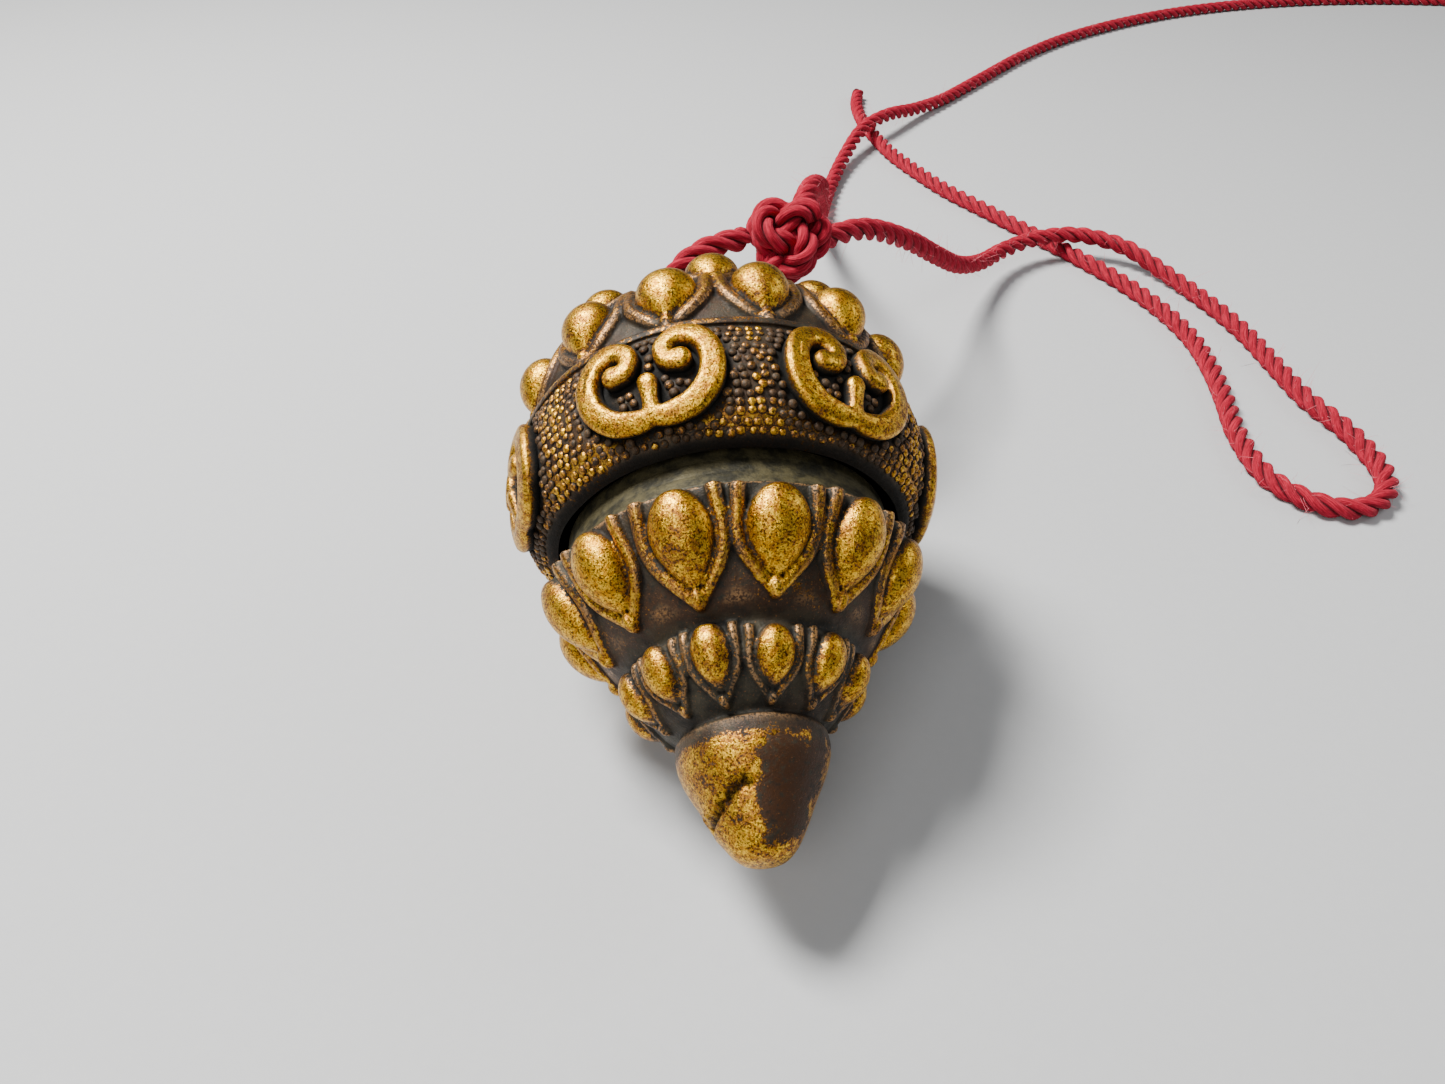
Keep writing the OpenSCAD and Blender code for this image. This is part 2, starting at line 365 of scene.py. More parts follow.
@dataclass(frozen=True)
class Turning:
    """An outline turned about the axis, which relief is laid on.

    Attributes:
        outline: Points of radius and height, in the order they are cut.
        steps: Pieces that each span of the outline is smoothed into.
    """

    outline: tuple[tuple[float, float], ...]
    steps: int = 6

    def line(self) -> np.ndarray:
        """Returns the smoothed outline as rows of radius and height."""
        return spline(self.outline, self.steps)

    def run(self) -> np.ndarray:
        """Returns the distance along the outline at each of its points."""
        return run_along(self.line())

    def run_at_height(self, height: float) -> float:
        """Finds how far along the outline a height lies.

        Args:
            height: Height on the axis.

        Returns:
            Distance along the outline.
        """
        line = self.line()
        return float(self.run()[np.abs(line[:, 1] - height).argmin()])

    def rising(self) -> float:
        """Returns 1 where the outline is cut upwards, -1 where it is cut downwards."""
        line = self.line()
        return 1.0 if line[-1, 1] > line[0, 1] else -1.0

    def outward(self) -> np.ndarray:
        """Works out which way the surface faces.

        Returns:
            The outward direction at each point, as rows of radius and height.
        """
        slope = np.gradient(self.line(), axis=0)
        slope /= np.linalg.norm(slope, axis=1)[:, None]
        return np.stack([slope[:, 1], -slope[:, 0]], 1) * self.rising()

    def wrap(self, piece: bpy.types.Object, height: float, angle: float) -> None:
        """Bends a flat relief onto the turned surface.

        The relief's +X becomes the way round, +Y the way up the axis, and +Z
        the way out.

        Args:
            piece: The flat relief.
            height: Height that the relief's origin lands on.
            angle: Degrees round from the upward side.
        """
        line, run, out = self.line(), self.run(), self.outward()
        flat = coords(piece)
        at = self.run_at_height(height) + self.rising() * flat[:, 1]
        radius = np.interp(at, run, line[:, 0])
        turned = math.radians(angle - 90) + flat[:, 0] / radius
        lift = flat[:, 2]
        reach = radius + lift * np.interp(at, run, out[:, 0])
        rise = np.interp(at, run, line[:, 1]) + lift * np.interp(at, run, out[:, 1])
        rows = np.stack([reach * np.cos(turned), reach * np.sin(turned), rise], 1)
        set_coords(piece, rows)

    def relief(self, points: np.ndarray) -> np.ndarray:
        """Measures how far points stand off the turned surface.

        Args:
            points: Rows of x, y, z.

        Returns:
            Distance outwards from the outline, negative inside it.
        """
        line = self.line()
        start, way = line[:-1], np.diff(line, axis=0)
        size = (way**2).sum(1)
        spot = np.stack([np.hypot(points[:, 0], points[:, 1]), points[:, 2]], 1)
        best = np.full(len(spot), 1e9)
        side = np.zeros(len(spot))
        for a, w, s in zip(start, way, size):
            t = np.clip(((spot - a) @ w) / s, 0, 1)
            gap = spot - a - t[:, None] * w
            far = np.hypot(gap[:, 0], gap[:, 1])
            closer = far < best
            turn = w[1] * gap[:, 0] - w[0] * gap[:, 1]
            best = np.where(closer, far, best)
            side = np.where(closer, np.sign(turn), side)
        return best * side * self.rising()


def spun(name: str, section: np.ndarray, closed: bool, steps: int = 160) -> bpy.types.Object:
    """Spins a cross-section about the axis.

    Args:
        name: Name of the piece.
        section: Rows of radius and height.
        closed: Whether the section's last point joins its first.
        steps: Facets round the piece.

    Returns:
        The turned mesh.
    """
    deselect()
    bpy.ops.mesh.primitive_plane_add(size=1, location=(0, 0, 0))
    piece = added(name)
    bpy.ops.object.mode_set(mode="EDIT")
    bpy.ops.mesh.select_all(action="SELECT")
    bpy.ops.mesh.merge(type="CENTER")
    rows = np.vstack([section, section[:1]]) if closed else section
    bpy.ops.transform.translate(value=(rows[0][0], 0, rows[0][1]))
    here = rows[0]
    for row in rows[1:]:
        move = (row[0] - here[0], 0, row[1] - here[1])
        bpy.ops.mesh.extrude_region_move(TRANSFORM_OT_translate={"value": move})
        here = row
    bpy.ops.mesh.select_all(action="SELECT")
    bpy.ops.mesh.remove_doubles(threshold=1e-5)
    bpy.ops.mesh.select_all(action="SELECT")
    bpy.ops.mesh.spin(steps=steps, angle=2 * math.pi, center=(0, 0, 0), axis=(0, 0, 1))
    bpy.ops.object.mode_set(mode="OBJECT")
    face_out(piece)
    return piece


def fuse(piece: bpy.types.Object, voxel: float, most: int, soften: int = 2) -> None:
    """Melts overlapping shapes into one cast skin.

    Args:
        piece: The joined shapes.
        voxel: Grain of the cast, in millimetres.
        most: Triangles that the skin is thinned to.
        soften: Passes of smoothing over the grain.
    """
    apply_modifier(piece, "REMESH", mode="VOXEL", voxel_size=voxel, adaptivity=0.0)
    apply_modifier(piece, "SMOOTH", factor=0.5, iterations=soften)
    apply_modifier(piece, "TRIANGULATE")
    count = len(piece.data.polygons)
    if count > most:
        apply_modifier(piece, "DECIMATE", ratio=most / count)
    smooth_shade(piece, 80)


def push_out(piece: bpy.types.Object, push: np.ndarray) -> None:
    """Moves a casting's points straight away from the axis.

    Args:
        piece: The mesh object.
        push: How far each point moves, negative inwards.
    """
    points = coords(piece)
    radius = np.hypot(points[:, 0], points[:, 1]).clip(1e-6)
    points[:, :2] += (push / radius)[:, None] * points[:, :2]
    set_coords(piece, points)


def curvature(piece: bpy.types.Object, rounds: int = 14) -> np.ndarray:
    """Measures how far each point stands proud of its neighbourhood.

    Args:
        piece: The mesh object.
        rounds: Passes of averaging, which set the neighbourhood's size.

    Returns:
        Height over the averaged surface, negative in hollows.
    """
    mesh = piece.data
    ends = np.empty(len(mesh.edges) * 2, np.int64)
    mesh.edges.foreach_get("vertices", ends)
    one, two = ends[0::2], ends[1::2]
    count = len(mesh.vertices)
    share = np.bincount(ends, minlength=count)[:, None].clip(1)
    points = coords(piece)
    calm = points.copy()
    for _ in range(rounds):
        sums = [
            np.bincount(one, calm[two, k], count) + np.bincount(two, calm[one, k], count)
            for k in range(3)
        ]
        calm = 0.5 * calm + 0.5 * np.stack(sums, 1) / share
    normals = np.empty(count * 3)
    mesh.vertices.foreach_get("normal", normals)
    return ((points - calm) * normals.reshape(-1, 3)).sum(1)


def hand_cast(points: np.ndarray, size: float, phase: float) -> np.ndarray:
    """Gives the slow unevenness that a hand-finished casting has.

    Args:
        points: Rows of x, y, z.
        size: Distance over which it rises and falls.
        phase: Shifts the pattern from piece to piece.

    Returns:
        Numbers from about -1 to 1.
    """
    x, y, z = (points / size).T
    wave = np.sin(x * 1.7 + 1.3 * np.sin(y * 1.1 + phase) + phase)
    wave += np.sin(y * 2.1 - 1.1 * np.sin(z * 1.4 - phase) + 2 * phase)
    wave += np.sin(z * 1.9 + 1.2 * np.sin(x * 1.5 + phase) - phase)
    return wave / 3


def swept(
    name: str, points: np.ndarray, radii: Sequence[float], detail: int = 2
) -> bpy.types.Object:
    """Draws a round bar along a line and makes it a closed mesh.

    Args:
        name: Name of the piece.
        points: Rows of x, y, z along the middle of the bar.
        radii: Radius of the bar at each point.
        detail: Steps that round the section.

    Returns:
        The bar.
    """
    deselect()
    bpy.ops.curve.primitive_nurbs_path_add()
    piece = added(name)
    curve = piece.data
    curve.splines.clear()
    line = curve.splines.new("POLY")
    line.points.add(len(points) - 1)
    for spot, point, radius in zip(line.points, points, radii):
        spot.co = (*point, 1.0)
        spot.radius = radius
    curve.bevel_depth = 1.0
    curve.bevel_resolution = detail
    curve.use_fill_caps = True
    bpy.ops.object.convert(target="MESH")
    face_out(piece, 1e-3)
    return piece


# ------------------------------------------------------------------ finishes

Colour = tuple[float, float, float]
Socket = bpy.types.NodeSocket
Value = Socket | float


class Recipe:
    """Lays out the shader nodes of one finish, with lengths in millimetres."""

    MIX_A, MIX_B, MIX_RESULT = 6, 7, 2

    def __init__(self, name: str) -> None:
        """Starts a finish with a plain principled surface.

        Args:
            name: Name of the finish.
        """
        self.material = bpy.data.materials.new(name)
        self.material.use_nodes = True
        self.tree = self.material.node_tree
        self.surface = self.tree.nodes["Principled BSDF"]

    def node(self, kind: str, **settings: object) -> bpy.types.Node:
        """Adds a node.

        Args:
            kind: The node's type without its ShaderNode prefix.
            settings: Attributes to set on the node.

        Returns:
            The new node.
        """
        made = self.tree.nodes.new("ShaderNode" + kind)
        for key, value in settings.items():
            setattr(made, key, value)
        return made

    def feed(self, socket: Socket, value: object) -> None:
        """Links a socket's output, or sets a constant, on an input.

        Args:
            socket: The input.
            value: An output socket, a colour, a vector or a number.
        """
        if isinstance(value, bpy.types.NodeSocket):
            self.tree.links.new(value, socket)
        elif isinstance(value, tuple) and len(value) == 3 and socket.type == "RGBA":
            socket.default_value = (*value, 1.0)
        else:
            socket.default_value = value

    def place(self, stretch: Colour = (1.0, 1.0, 1.0)) -> Socket:
        """Gives the object's own coordinates in millimetres.

        Args:
            stretch: How much finer a pattern on them is along each axis.

        Returns:
            The coordinates.
        """
        where = self.node("TexCoord")
        scale = self.node("Mapping")
        self.feed(scale.inputs["Vector"], where.outputs["Object"])
        scale.inputs["Scale"].default_value = tuple(s / MM for s in stretch)
        return scale.outputs["Vector"]

    def map(self, name: str, stretch: Colour) -> Socket:
        """Gives the coordinates of a UV map.

        Args:
            name: The map's name.
            stretch: How much finer a pattern on them is along each axis.

        Returns:
            The coordinates.
        """
        scale = self.node("Mapping")
        self.feed(scale.inputs["Vector"], self.node("UVMap", uv_map=name).outputs["UV"])
        scale.inputs["Scale"].default_value = stretch
        return scale.outputs["Vector"]

    def mark(self, name: str) -> Socket:
        """Returns a number stored on the mesh."""
        return self.node("Attribute", attribute_name=name).outputs["Fac"]

    def noise(
        self, where: Socket, scale: float, detail: float = 3.0, rough: float = 0.55
    ) -> Socket:
        """Gives cloudy noise.

        Args:
            where: The coordinates that it is read at.
            scale: Features to the millimetre.
            detail: Octaves of finer noise.
            rough: Strength of each octave against the one before.

        Returns:
            A number from 0 to 1.
        """
        made = self.node("TexNoise")
        self.feed(made.inputs["Vector"], where)
        made.inputs["Scale"].default_value = scale
        made.inputs["Detail"].default_value = detail
        made.inputs["Roughness"].default_value = rough
        return made.outputs["Fac"]

    def sum(self, first: Value, second: Value, share: float = 1.0) -> Socket:
        """Adds two numbers.

        Args:
            first: The first number.
            second: The second number.
            share: Share of the second that is added.

        Returns:
            The sum.
        """
        made = self.node("Math", operation="MULTIPLY_ADD")
        self.feed(made.inputs[0], second)
        made.inputs[1].default_value = share
        self.feed(made.inputs[2], first)
        return made.outputs[0]

    def times(self, first: Value, second: Value) -> Socket:
        """Multiplies two numbers.

        Args:
            first: The first number.
            second: The second number.

        Returns:
            The product.
        """
        made = self.node("Math", operation="MULTIPLY")
        self.feed(made.inputs[0], first)
        self.feed(made.inputs[1], second)
        return made.outputs[0]

    def fit(
        self, value: Socket, low: float, high: float, start: float = 0.0, end: float = 1.0
    ) -> Socket:
        """Maps one range smoothly onto another.

        Args:
            value: The number to map.
            low: Where the first range starts.
            high: Where it ends.
            start: What low becomes.
            end: What high becomes.

        Returns:
            The mapped number.
        """
        made = self.node("MapRange", interpolation_type="SMOOTHSTEP")
        self.feed(made.inputs["Value"], value)
        ranges = {"From Min": low, "From Max": high, "To Min": start, "To Max": end}
        for key, number in ranges.items():
            made.inputs[key].default_value = number
        return made.outputs["Result"]

    def blend(self, share: Value, first: object, second: object) -> Socket:
        """Mixes two colours.

        Args:
            share: Share of the second colour.
            first: The first colour, or a socket that gives it.
            second: The second colour, or a socket that gives it.

        Returns:
            The mixed colour.
        """
        made = self.node("Mix", data_type="RGBA")
        self.feed(made.inputs["Factor"], share)
        self.feed(made.inputs[self.MIX_A], first)
        self.feed(made.inputs[self.MIX_B], second)
        return made.outputs[self.MIX_RESULT]

    def bump(self, height: Socket, depth: float, under: Socket | None = None) -> Socket:
        """Presses a height into the surface.

        Args:
            height: Height from 0 to 1.
            depth: Depth in millimetres.
            under: Normal that it is laid on.

        Returns:
            The new normal.
        """
        made = self.node("Bump")
        made.inputs["Distance"].default_value = depth * MM
        made.inputs["Strength"].default_value = 1.0
        self.feed(made.inputs["Height"], height)
        if under is not None:
            self.feed(made.inputs["Normal"], under)
        return made.outputs["Normal"]

    def done(self, **sockets: object) -> bpy.types.Material:
        """Sets the surface's sockets, with _ for each space in a name.

        Args:
            sockets: Values or links for the principled surface.

        Returns:
            The finished material.
        """
        for key, value in sockets.items():
            self.feed(self.surface.inputs[key.replace("_", " ")], value)
        return self.material


@dataclass(frozen=True)
class AntiqueBrass:
    """Cast brass with a black-green patina, worn back to gold where it is proud.

    The mesh carries four marks: gilt, how far it is worn to gold; brown, how
    much brown tarnish lies on it; deep, how dark its hollows are, as black patina
    together with painted shade; and rub, how far thin edges are lightened, partly
    by real wear to copper and partly as a painted highlight.

    Attributes:
        gold: Worn surface.
        pale_gold: Brightest specks of it.
        copper: Rim of the worn places.
        umber: Brown tarnish and flecks.
        patina: Untouched surface.
        pale_patina: Paler blotches of it.
        black_patina_and_shade: Black patina in the hollows, darker still as painted shade.
        rubbed_highlight: Thin edges worn to copper, lightened as a painted highlight too.
    """

    name: str = "antique_brass"
    gold: Colour = (0.50, 0.225, 0.005)
    pale_gold: Colour = (0.80, 0.46, 0.030)
    copper: Colour = (0.26, 0.098, 0.026)
    umber: Colour = (0.036, 0.0135, 0.0036)
    patina: Colour = (0.010, 0.0085, 0.005)
    pale_patina: Colour = (0.034, 0.028, 0.016)
    black_patina_and_shade: Colour = (0.002, 0.0023, 0.0021)
    rubbed_highlight: Colour = (0.36, 0.195, 0.080)

    def material(self) -> bpy.types.Material:
        """Makes the finish.

        Returns:
            The material.
        """
        mix = Recipe(self.name)
        where = mix.place()
        mottle = mix.noise(where, 0.7, 3.0)
        blotch = mix.noise(where, 2.3, 4.0, 0.62)
        grain = mix.noise(where, 6.5, 3.0, 0.6)
        specks = mix.noise(where, 11.0, 2.0, 0.55)
        gilt, brown, dark_patina_and_shade, rub_and_highlight = (mix.mark(n) for n in ("gilt", "brown", "dark_patina_and_shade", "rub_and_highlight"))
        worn = mix.sum(mix.sum(mix.sum(gilt, mottle, 0.30), blotch, 0.62), grain, 0.75)
        shown = mix.fit(worn, 1.25, 1.36)
        bright = mix.fit(mix.sum(blotch, specks, 0.5), 0.66, 0.86)
        gold = mix.blend(bright, self.gold, self.pale_gold)
        gold = mix.blend(mix.fit(worn, 1.32, 1.56, 0.9, 0.0), gold, self.copper)
        flecks = mix.noise(where, 7.5, 5.0, 0.72)
        gold = mix.blend(mix.fit(flecks, 0.505, 0.56, 0.0, 0.9), gold, self.umber)
        skin = mix.blend(mix.fit(mottle, 0.38, 0.64), self.patina, self.pale_patina)
        skin = mix.blend(mix.times(brown, mix.fit(blotch, 0.30, 0.52)), skin, self.umber)
        skin = mix.blend(mix.fit(flecks, 0.60, 0.66, 0.0, 0.45), skin, self.copper)
        colour = mix.blend(shown, skin, gold)
        # thin edges lightened: real wear to copper and a painted highlight
        colour = mix.blend(mix.times(rub_and_highlight, mix.fit(grain, 0.40, 0.56)), colour, self.rubbed_highlight)
        # hollows darkened: black patina and painted shade
        colour = mix.blend(dark_patina_and_shade, colour, self.black_patina_and_shade)
        bare = mix.fit(mix.sum(shown, rub_and_highlight, 0.5), 0.0, 0.8)
        rough = mix.sum(mix.fit(blotch, 0.35, 0.7, 0.60, 0.48), bare, -0.15)
        pits = mix.bump(specks, 0.022)
        return mix.done(
            Base_Color=colour,
            Metallic=mix.fit(bare, 0.0, 1.0, 0.25, 1.0),
            Roughness=mix.sum(rough, dark_patina_and_shade, 0.35),
            Specular_IOR_Level=0.28,
            Normal=mix.bump(grain, 0.035, pits),
        )


@dataclass(frozen=True)
class WornMetal:
    """A turned or drawn metal with a fine grain and a little tarnish.

    Attributes:
        bright: Clean colour.
        dull: Tarnished colour.
        rough: Mean roughness.
        metal: How metallic it is, from 0 to 1.
        pits: Depth of the grain in millimetres.
    """

    name: str
    bright: Colour
    dull: Colour
    rough: float = 0.42
    metal: float = 0.85
    pits: float = 0.03

    def material(self) -> bpy.types.Material:
        """Makes the finish.

        Returns:
            The material.
        """
        mix = Recipe(self.name)
        where = mix.place()
        cloud = mix.noise(where, 0.9, 5.0, 0.65)
        grain = mix.noise(where, 5.0, 4.0, 0.65)
        colour = mix.blend(mix.fit(cloud, 0.36, 0.62), self.dull, self.bright)
        colour = mix.blend(mix.times(mix.fit(grain, 0.55, 0.68), 0.7), colour, self.dull)
        return mix.done(
            Base_Color=colour,
            Metallic=self.metal,
            Roughness=mix.fit(grain, 0.3, 0.7, self.rough - 0.08, self.rough + 0.12),
            Normal=mix.bump(grain, self.pits),
        )


@dataclass(frozen=True)
class Fibrous:
    """A dull fibrous stuff: wood, paper, cloth, thread or felt.

    Attributes:
        light: Colour of the proud fibres.
        dark: Colour between them.
        stretch: How much finer the grain is along each axis.
        scale: Grains to the millimetre.
        depth: Depth of the grain in millimetres.
        sheen: Strength of the sheen.
    """

    name: str
    light: Colour
    dark: Colour
    stretch: Colour = (1.0, 1.0, 1.0)
    scale: float = 3.0
    depth: float = 0.04
    sheen: float = 0.2

    def material(self) -> bpy.types.Material:
        """Makes the finish.

        Returns:
            The material.
        """
        mix = Recipe(self.name)
        where = mix.place(self.stretch)
        grain = mix.noise(where, self.scale, 5.0, 0.65)
        cloud = mix.noise(mix.place(), 0.3, 2.0)
        colour = mix.blend(mix.fit(grain, 0.36, 0.64), self.dark, self.light)
        colour = mix.blend(mix.fit(cloud, 0.5, 0.8, 0.0, 0.3), colour, self.dark)
        return mix.done(
            Base_Color=colour,
            Roughness=mix.fit(grain, 0.3, 0.7, 0.95, 0.75),
            Sheen_Weight=self.sheen,
            Normal=mix.bump(grain, self.depth),
        )


@dataclass(frozen=True)
class TwistedCotton:
    """Crimson three-ply cord, soft and a little fuzzy.

    The mesh carries two marks: groove, how far down between the plies a point
    lies, which is darkened there as painted shade, and singe, how burnt it is. Its UV map runs
    across and along a ply.

    Attributes:
        light: Brightest yarns.
        body: Most of the yarns.
        shade: Painted shade in the grooves between the plies.
        burnt: Singed end.
    """

    name: str = "crimson_cord"
    light: Colour = (0.46, 0.010, 0.036)
    body: Colour = (0.21, 0.0022, 0.012)
    shade: Colour = (0.024, 0.0004, 0.002)
    burnt: Colour = (0.02, 0.008, 0.008)

    def material(self) -> bpy.types.Material:
        """Makes the finish.

        Returns:
            The material.
        """
        mix = Recipe(self.name)
        yarn = mix.noise(mix.map("ply", (9.0, 0.9, 1.0)), 1.0, 3.0, 0.6)
        fluff = mix.noise(mix.place(), 3.5, 4.0, 0.65)
        colour = mix.blend(mix.fit(yarn, 0.38, 0.66), self.body, self.light)
        colour = mix.blend(mix.fit(fluff, 0.45, 0.75, 0.0, 0.5), colour, self.body)
        # painted shade in the grooves between the plies
        colour = mix.blend(mix.times(mix.mark("groove"), 0.92), colour, self.shade)
        colour = mix.blend(mix.mark("singe"), colour, self.burnt)
        return mix.done(
            Base_Color=colour,
            Roughness=mix.fit(yarn, 0.3, 0.7, 0.92, 0.7),
            Sheen_Weight=0.07,
            Sheen_Roughness=0.4,
            Sheen_Tint=(1.0, 0.35, 0.42),
            Specular_IOR_Level=0.2,
            Normal=mix.bump(fluff, 0.06, mix.bump(yarn, 0.14)),
        )


@dataclass(frozen=True)
class StudioFloor:
    """Plain pale floor with a faint tooth."""

    name: str = "studio_floor"
    colour: Colour = (0.43, 0.435, 0.44)

    def material(self) -> bpy.types.Material:
        """Makes the finish.

        Returns:
            The material.
        """
        mix = Recipe(self.name)
        tooth = mix.noise(mix.place(), 1.2, 2.0)
        shade = tuple(c * 0.95 for c in self.colour)
        return mix.done(
            Base_Color=mix.blend(tooth, shade, self.colour),
            Roughness=0.8,
            Normal=mix.bump(tooth, 0.01),
        )


# -------------------------------------------------------------------- studio


@dataclass(frozen=True)
class SoftBox:
    """One square area lamp aimed at the wheel.

    Attributes:
        name: The lamp's name.
        at: Where it hangs, in metres.
        size: Its side, in metres.
        power: Its power in watts.
        tint: Its colour.
    """

    name: str
    at: Point
    size: float
    power: float
    tint: Colour = (1.0, 1.0, 1.0)


@dataclass
class Studio:
    """Camera, pale floor and soft light.

    Attributes:
        target: What the camera looks at, in millimetres.
        turn: Degrees that the view is turned from +Y towards +X.
        drop: Degrees that the view looks down.
        distance: Distance from the target, in millimetres.
        lens: Focal length on a 36 mm sensor.
        floor_size: Side of the floor, in metres.
        aim: What the lamps point at, in metres.
        boxes: The lamps.
        air: Colour of the light from all round.
        air_power: Strength of that light.
    """

    target: Point = (-0.35, 0.4, 12.68)
    turn: float = 5.76
    drop: float = 41.17
    distance: float = 70.2
    lens: float = 25.91
    floor_size: float = 4.0
    aim: Point = (0, 0, 0.012)
    air: Colour = (0.93, 0.96, 1.0)
    air_power: float = 0.11
    boxes: tuple[SoftBox, ...] = (
        SoftBox("key_light", (-0.14, 0.10, 0.30), 0.11, 3.7, (1.0, 0.985, 0.96)),
        SoftBox("front_light", (-0.12, -0.24, 0.24), 0.18, 0.6),
        SoftBox("right_light", (0.30, 0.04, 0.20), 0.16, 0.35, (0.95, 0.98, 1.0)),
    )

    def camera(self) -> bpy.types.Object:
        """Sets the camera at its viewing angle.

        Returns:
            The camera.
        """
        turn, drop = math.radians(self.turn), math.radians(self.drop)
        ahead = Vector(
            (math.sin(turn) * math.cos(drop), math.cos(turn) * math.cos(drop), -math.sin(drop))
        )
        spot = (Vector(self.target) - ahead * self.distance) * MM
        deselect()
        bpy.ops.object.camera_add(location=spot, rotation=(math.pi / 2 - drop, 0, -turn))
        camera = added("studio_camera")
        camera.data.lens = self.lens
        camera.data.sensor_width = 36.0
        camera.data.clip_start = 0.002
        camera.data.clip_end = 20.0
        bpy.context.scene.camera = camera
        return camera

    def build(self) -> None:
        """Lays the floor and hangs the lamps."""
        deselect()
        bpy.ops.mesh.primitive_plane_add(size=self.floor_size)
        floor = added("floor")
        floor.data.materials.append(StudioFloor().material())
        for box in self.boxes:
            aim = Vector(self.aim) - Vector(box.at)
            turn = aim.to_track_quat("-Z", "Y").to_euler()
            bpy.ops.object.light_add(type="AREA", location=box.at, rotation=turn)
            lamp = added(box.name).data
            lamp.size = box.size
            lamp.energy = box.power
            lamp.color = box.tint
        world = bpy.context.scene.world or bpy.data.worlds.new("studio_air")
        bpy.context.scene.world = world
        world.use_nodes = True
        air = world.node_tree.nodes["Background"]
        air.inputs["Color"].default_value = (*self.air, 1.0)
        air.inputs["Strength"].default_value = self.air_power


# ---------------------------------------------------------------------- cord


@dataclass(frozen=True)
class ThreePly:
    """Shape of a cord laid up from three plies, in millimetres.

    Attributes:
        across: Outer diameter.
        lay: Length in which a ply goes once round.
        sides: Points round the section.
        step: Distance between sections.
        ply_share: A ply's radius as a share of the diameter.
        offset_share: Distance of a ply's middle from the cord's, as a share too.
        end_share: Length of the rounding at each end, as a share too.
    """

    across: float = 2.0
    lay: float = 5.7
    sides: int = 30
    step: float = 0.28
    ply_share: float = 0.25
    offset_share: float = 0.265
    end_share: float = 0.45

    def section(self) -> tuple[np.ndarray, np.ndarray, np.ndarray]:
        """Works out the lobed section.

        Returns:
            The angle, the radius and the groove's depth at each point.
        """
        turn = np.arange(self.sides) * 2 * math.pi / self.sides
        local = (turn + math.pi / 3) % (2 * math.pi / 3) - math.pi / 3
        ply, off = self.ply_share * self.across, self.offset_share * self.across
        bulge = off * np.cos(local)
        bulge += np.sqrt(np.clip(ply**2 - (off * np.sin(local)) ** 2, 0, None))
        bulge *= 0.5 * self.across / bulge.max()
        return turn, bulge, smoothstep(0.72, 1.0, np.abs(local) / (math.pi / 3))

    def lay_up(
        self, name: str, path: np.ndarray, phase: float = 0.0, singe: float = 0.0
    ) -> bpy.types.Object:
        """Makes the twisted skin along a path, with rounded ends.

        Args:
            name: Name of the piece.
            path: Rows of x, y, z in the frame's millimetres.
            phase: Turn of the plies at the start.
            singe: Length of the burnt stretch at the far end.

        Returns:
            The cord, in metres.
        """
        line = even(path, self.step)
        line[:, 2] = np.maximum(line[:, 2], 0.5 * self.across)
        count = len(line)
        run = np.linspace(0, 1, count) * np.linalg.norm(np.diff(line, axis=0), axis=1).sum()
        ahead = np.gradient(line, axis=0)
        ahead /= np.linalg.norm(ahead, axis=1)[:, None]
        side = np.cross(ahead[0], (0.0, 0.0, 1.0))
        frames = []
        for way in ahead:
            side = side - way * side.dot(way)
            side = side / np.linalg.norm(side)
            frames.append((side, np.cross(way, side)))
        turn, radius, groove = self.section()
        tail = np.minimum(run, run[-1] - run)
        inward = np.clip(tail / (self.end_share * self.across), 0.02, 1)
        close = np.sqrt(np.clip(1 - (1 - inward) ** 2, 0, 1))
        spin = phase + run * 2 * math.pi / self.lay
        u = np.array([f[0] for f in frames])[:, None, :]
        v = np.array([f[1] for f in frames])[:, None, :]
        angle = (turn[None, :] + spin[:, None])[:, :, None]
        reach = (radius[None, :] * close[:, None])[:, :, None]
        skin = line[:, None, :] + reach * (np.cos(angle) * u + np.sin(angle) * v)
        points = np.vstack([skin.reshape(-1, 3), line[:1], line[-1:]])
        faces = []
        for i in range(count - 1):
            for k in range(self.sides):
                a, b = i * self.sides + k, i * self.sides + (k + 1) % self.sides
                faces.append((a, b, b + self.sides, a + self.sides))
        first, last = count * self.sides, count * self.sides + 1
        for k in range(self.sides):
            j = (k + 1) % self.sides
            faces.append((first, j, k))
            top = (count - 1) * self.sides
            faces.append((last, top + k, top + j))
        piece = meshed(name, points * MM, faces)
        self.lay_map(piece, turn, run)
        burnt = np.zeros(count)
        if singe:
            burnt = smoothstep(run[-1] - singe, run[-1] - 0.3 * singe, run)
        marks = {
            "groove": np.concatenate([np.tile(groove, count), [0, 0]]),
            "singe": np.concatenate([np.repeat(burnt, self.sides), burnt[[0, -1]]]),
        }
        set_marks(piece, marks)
        smooth_shade(piece, 60)
        return piece

    def lay_map(self, piece: bpy.types.Object, turn: np.ndarray, run: np.ndarray) -> None:
        """Lays the UV map that runs across and along each ply, in millimetres.

        Args:
            piece: The cord's skin.
            turn: Angle of each point round the section.
            run: Distance of each section along the cord.
        """
        third = 2 * math.pi / 3
        local = (turn + third / 2) % third - third / 2
        which = np.floor((turn + third / 2) / third) % 3
        across = (which * 3 + local * 0.5 * self.across)[None, :] + 0.3 * run[:, None]
        flat = np.stack([across, np.broadcast_to(run[:, None], across.shape)], -1)
        flat = np.vstack([flat.reshape(-1, 2), [[0, 0], [0, run[-1]]]])
        corner = np.empty(len(piece.data.loops), np.int64)
        piece.data.loops.foreach_get("vertex_index", corner)
        layer = piece.data.uv_layers.new(name="ply")
        layer.data.foreach_set("uv", flat[corner].ravel())


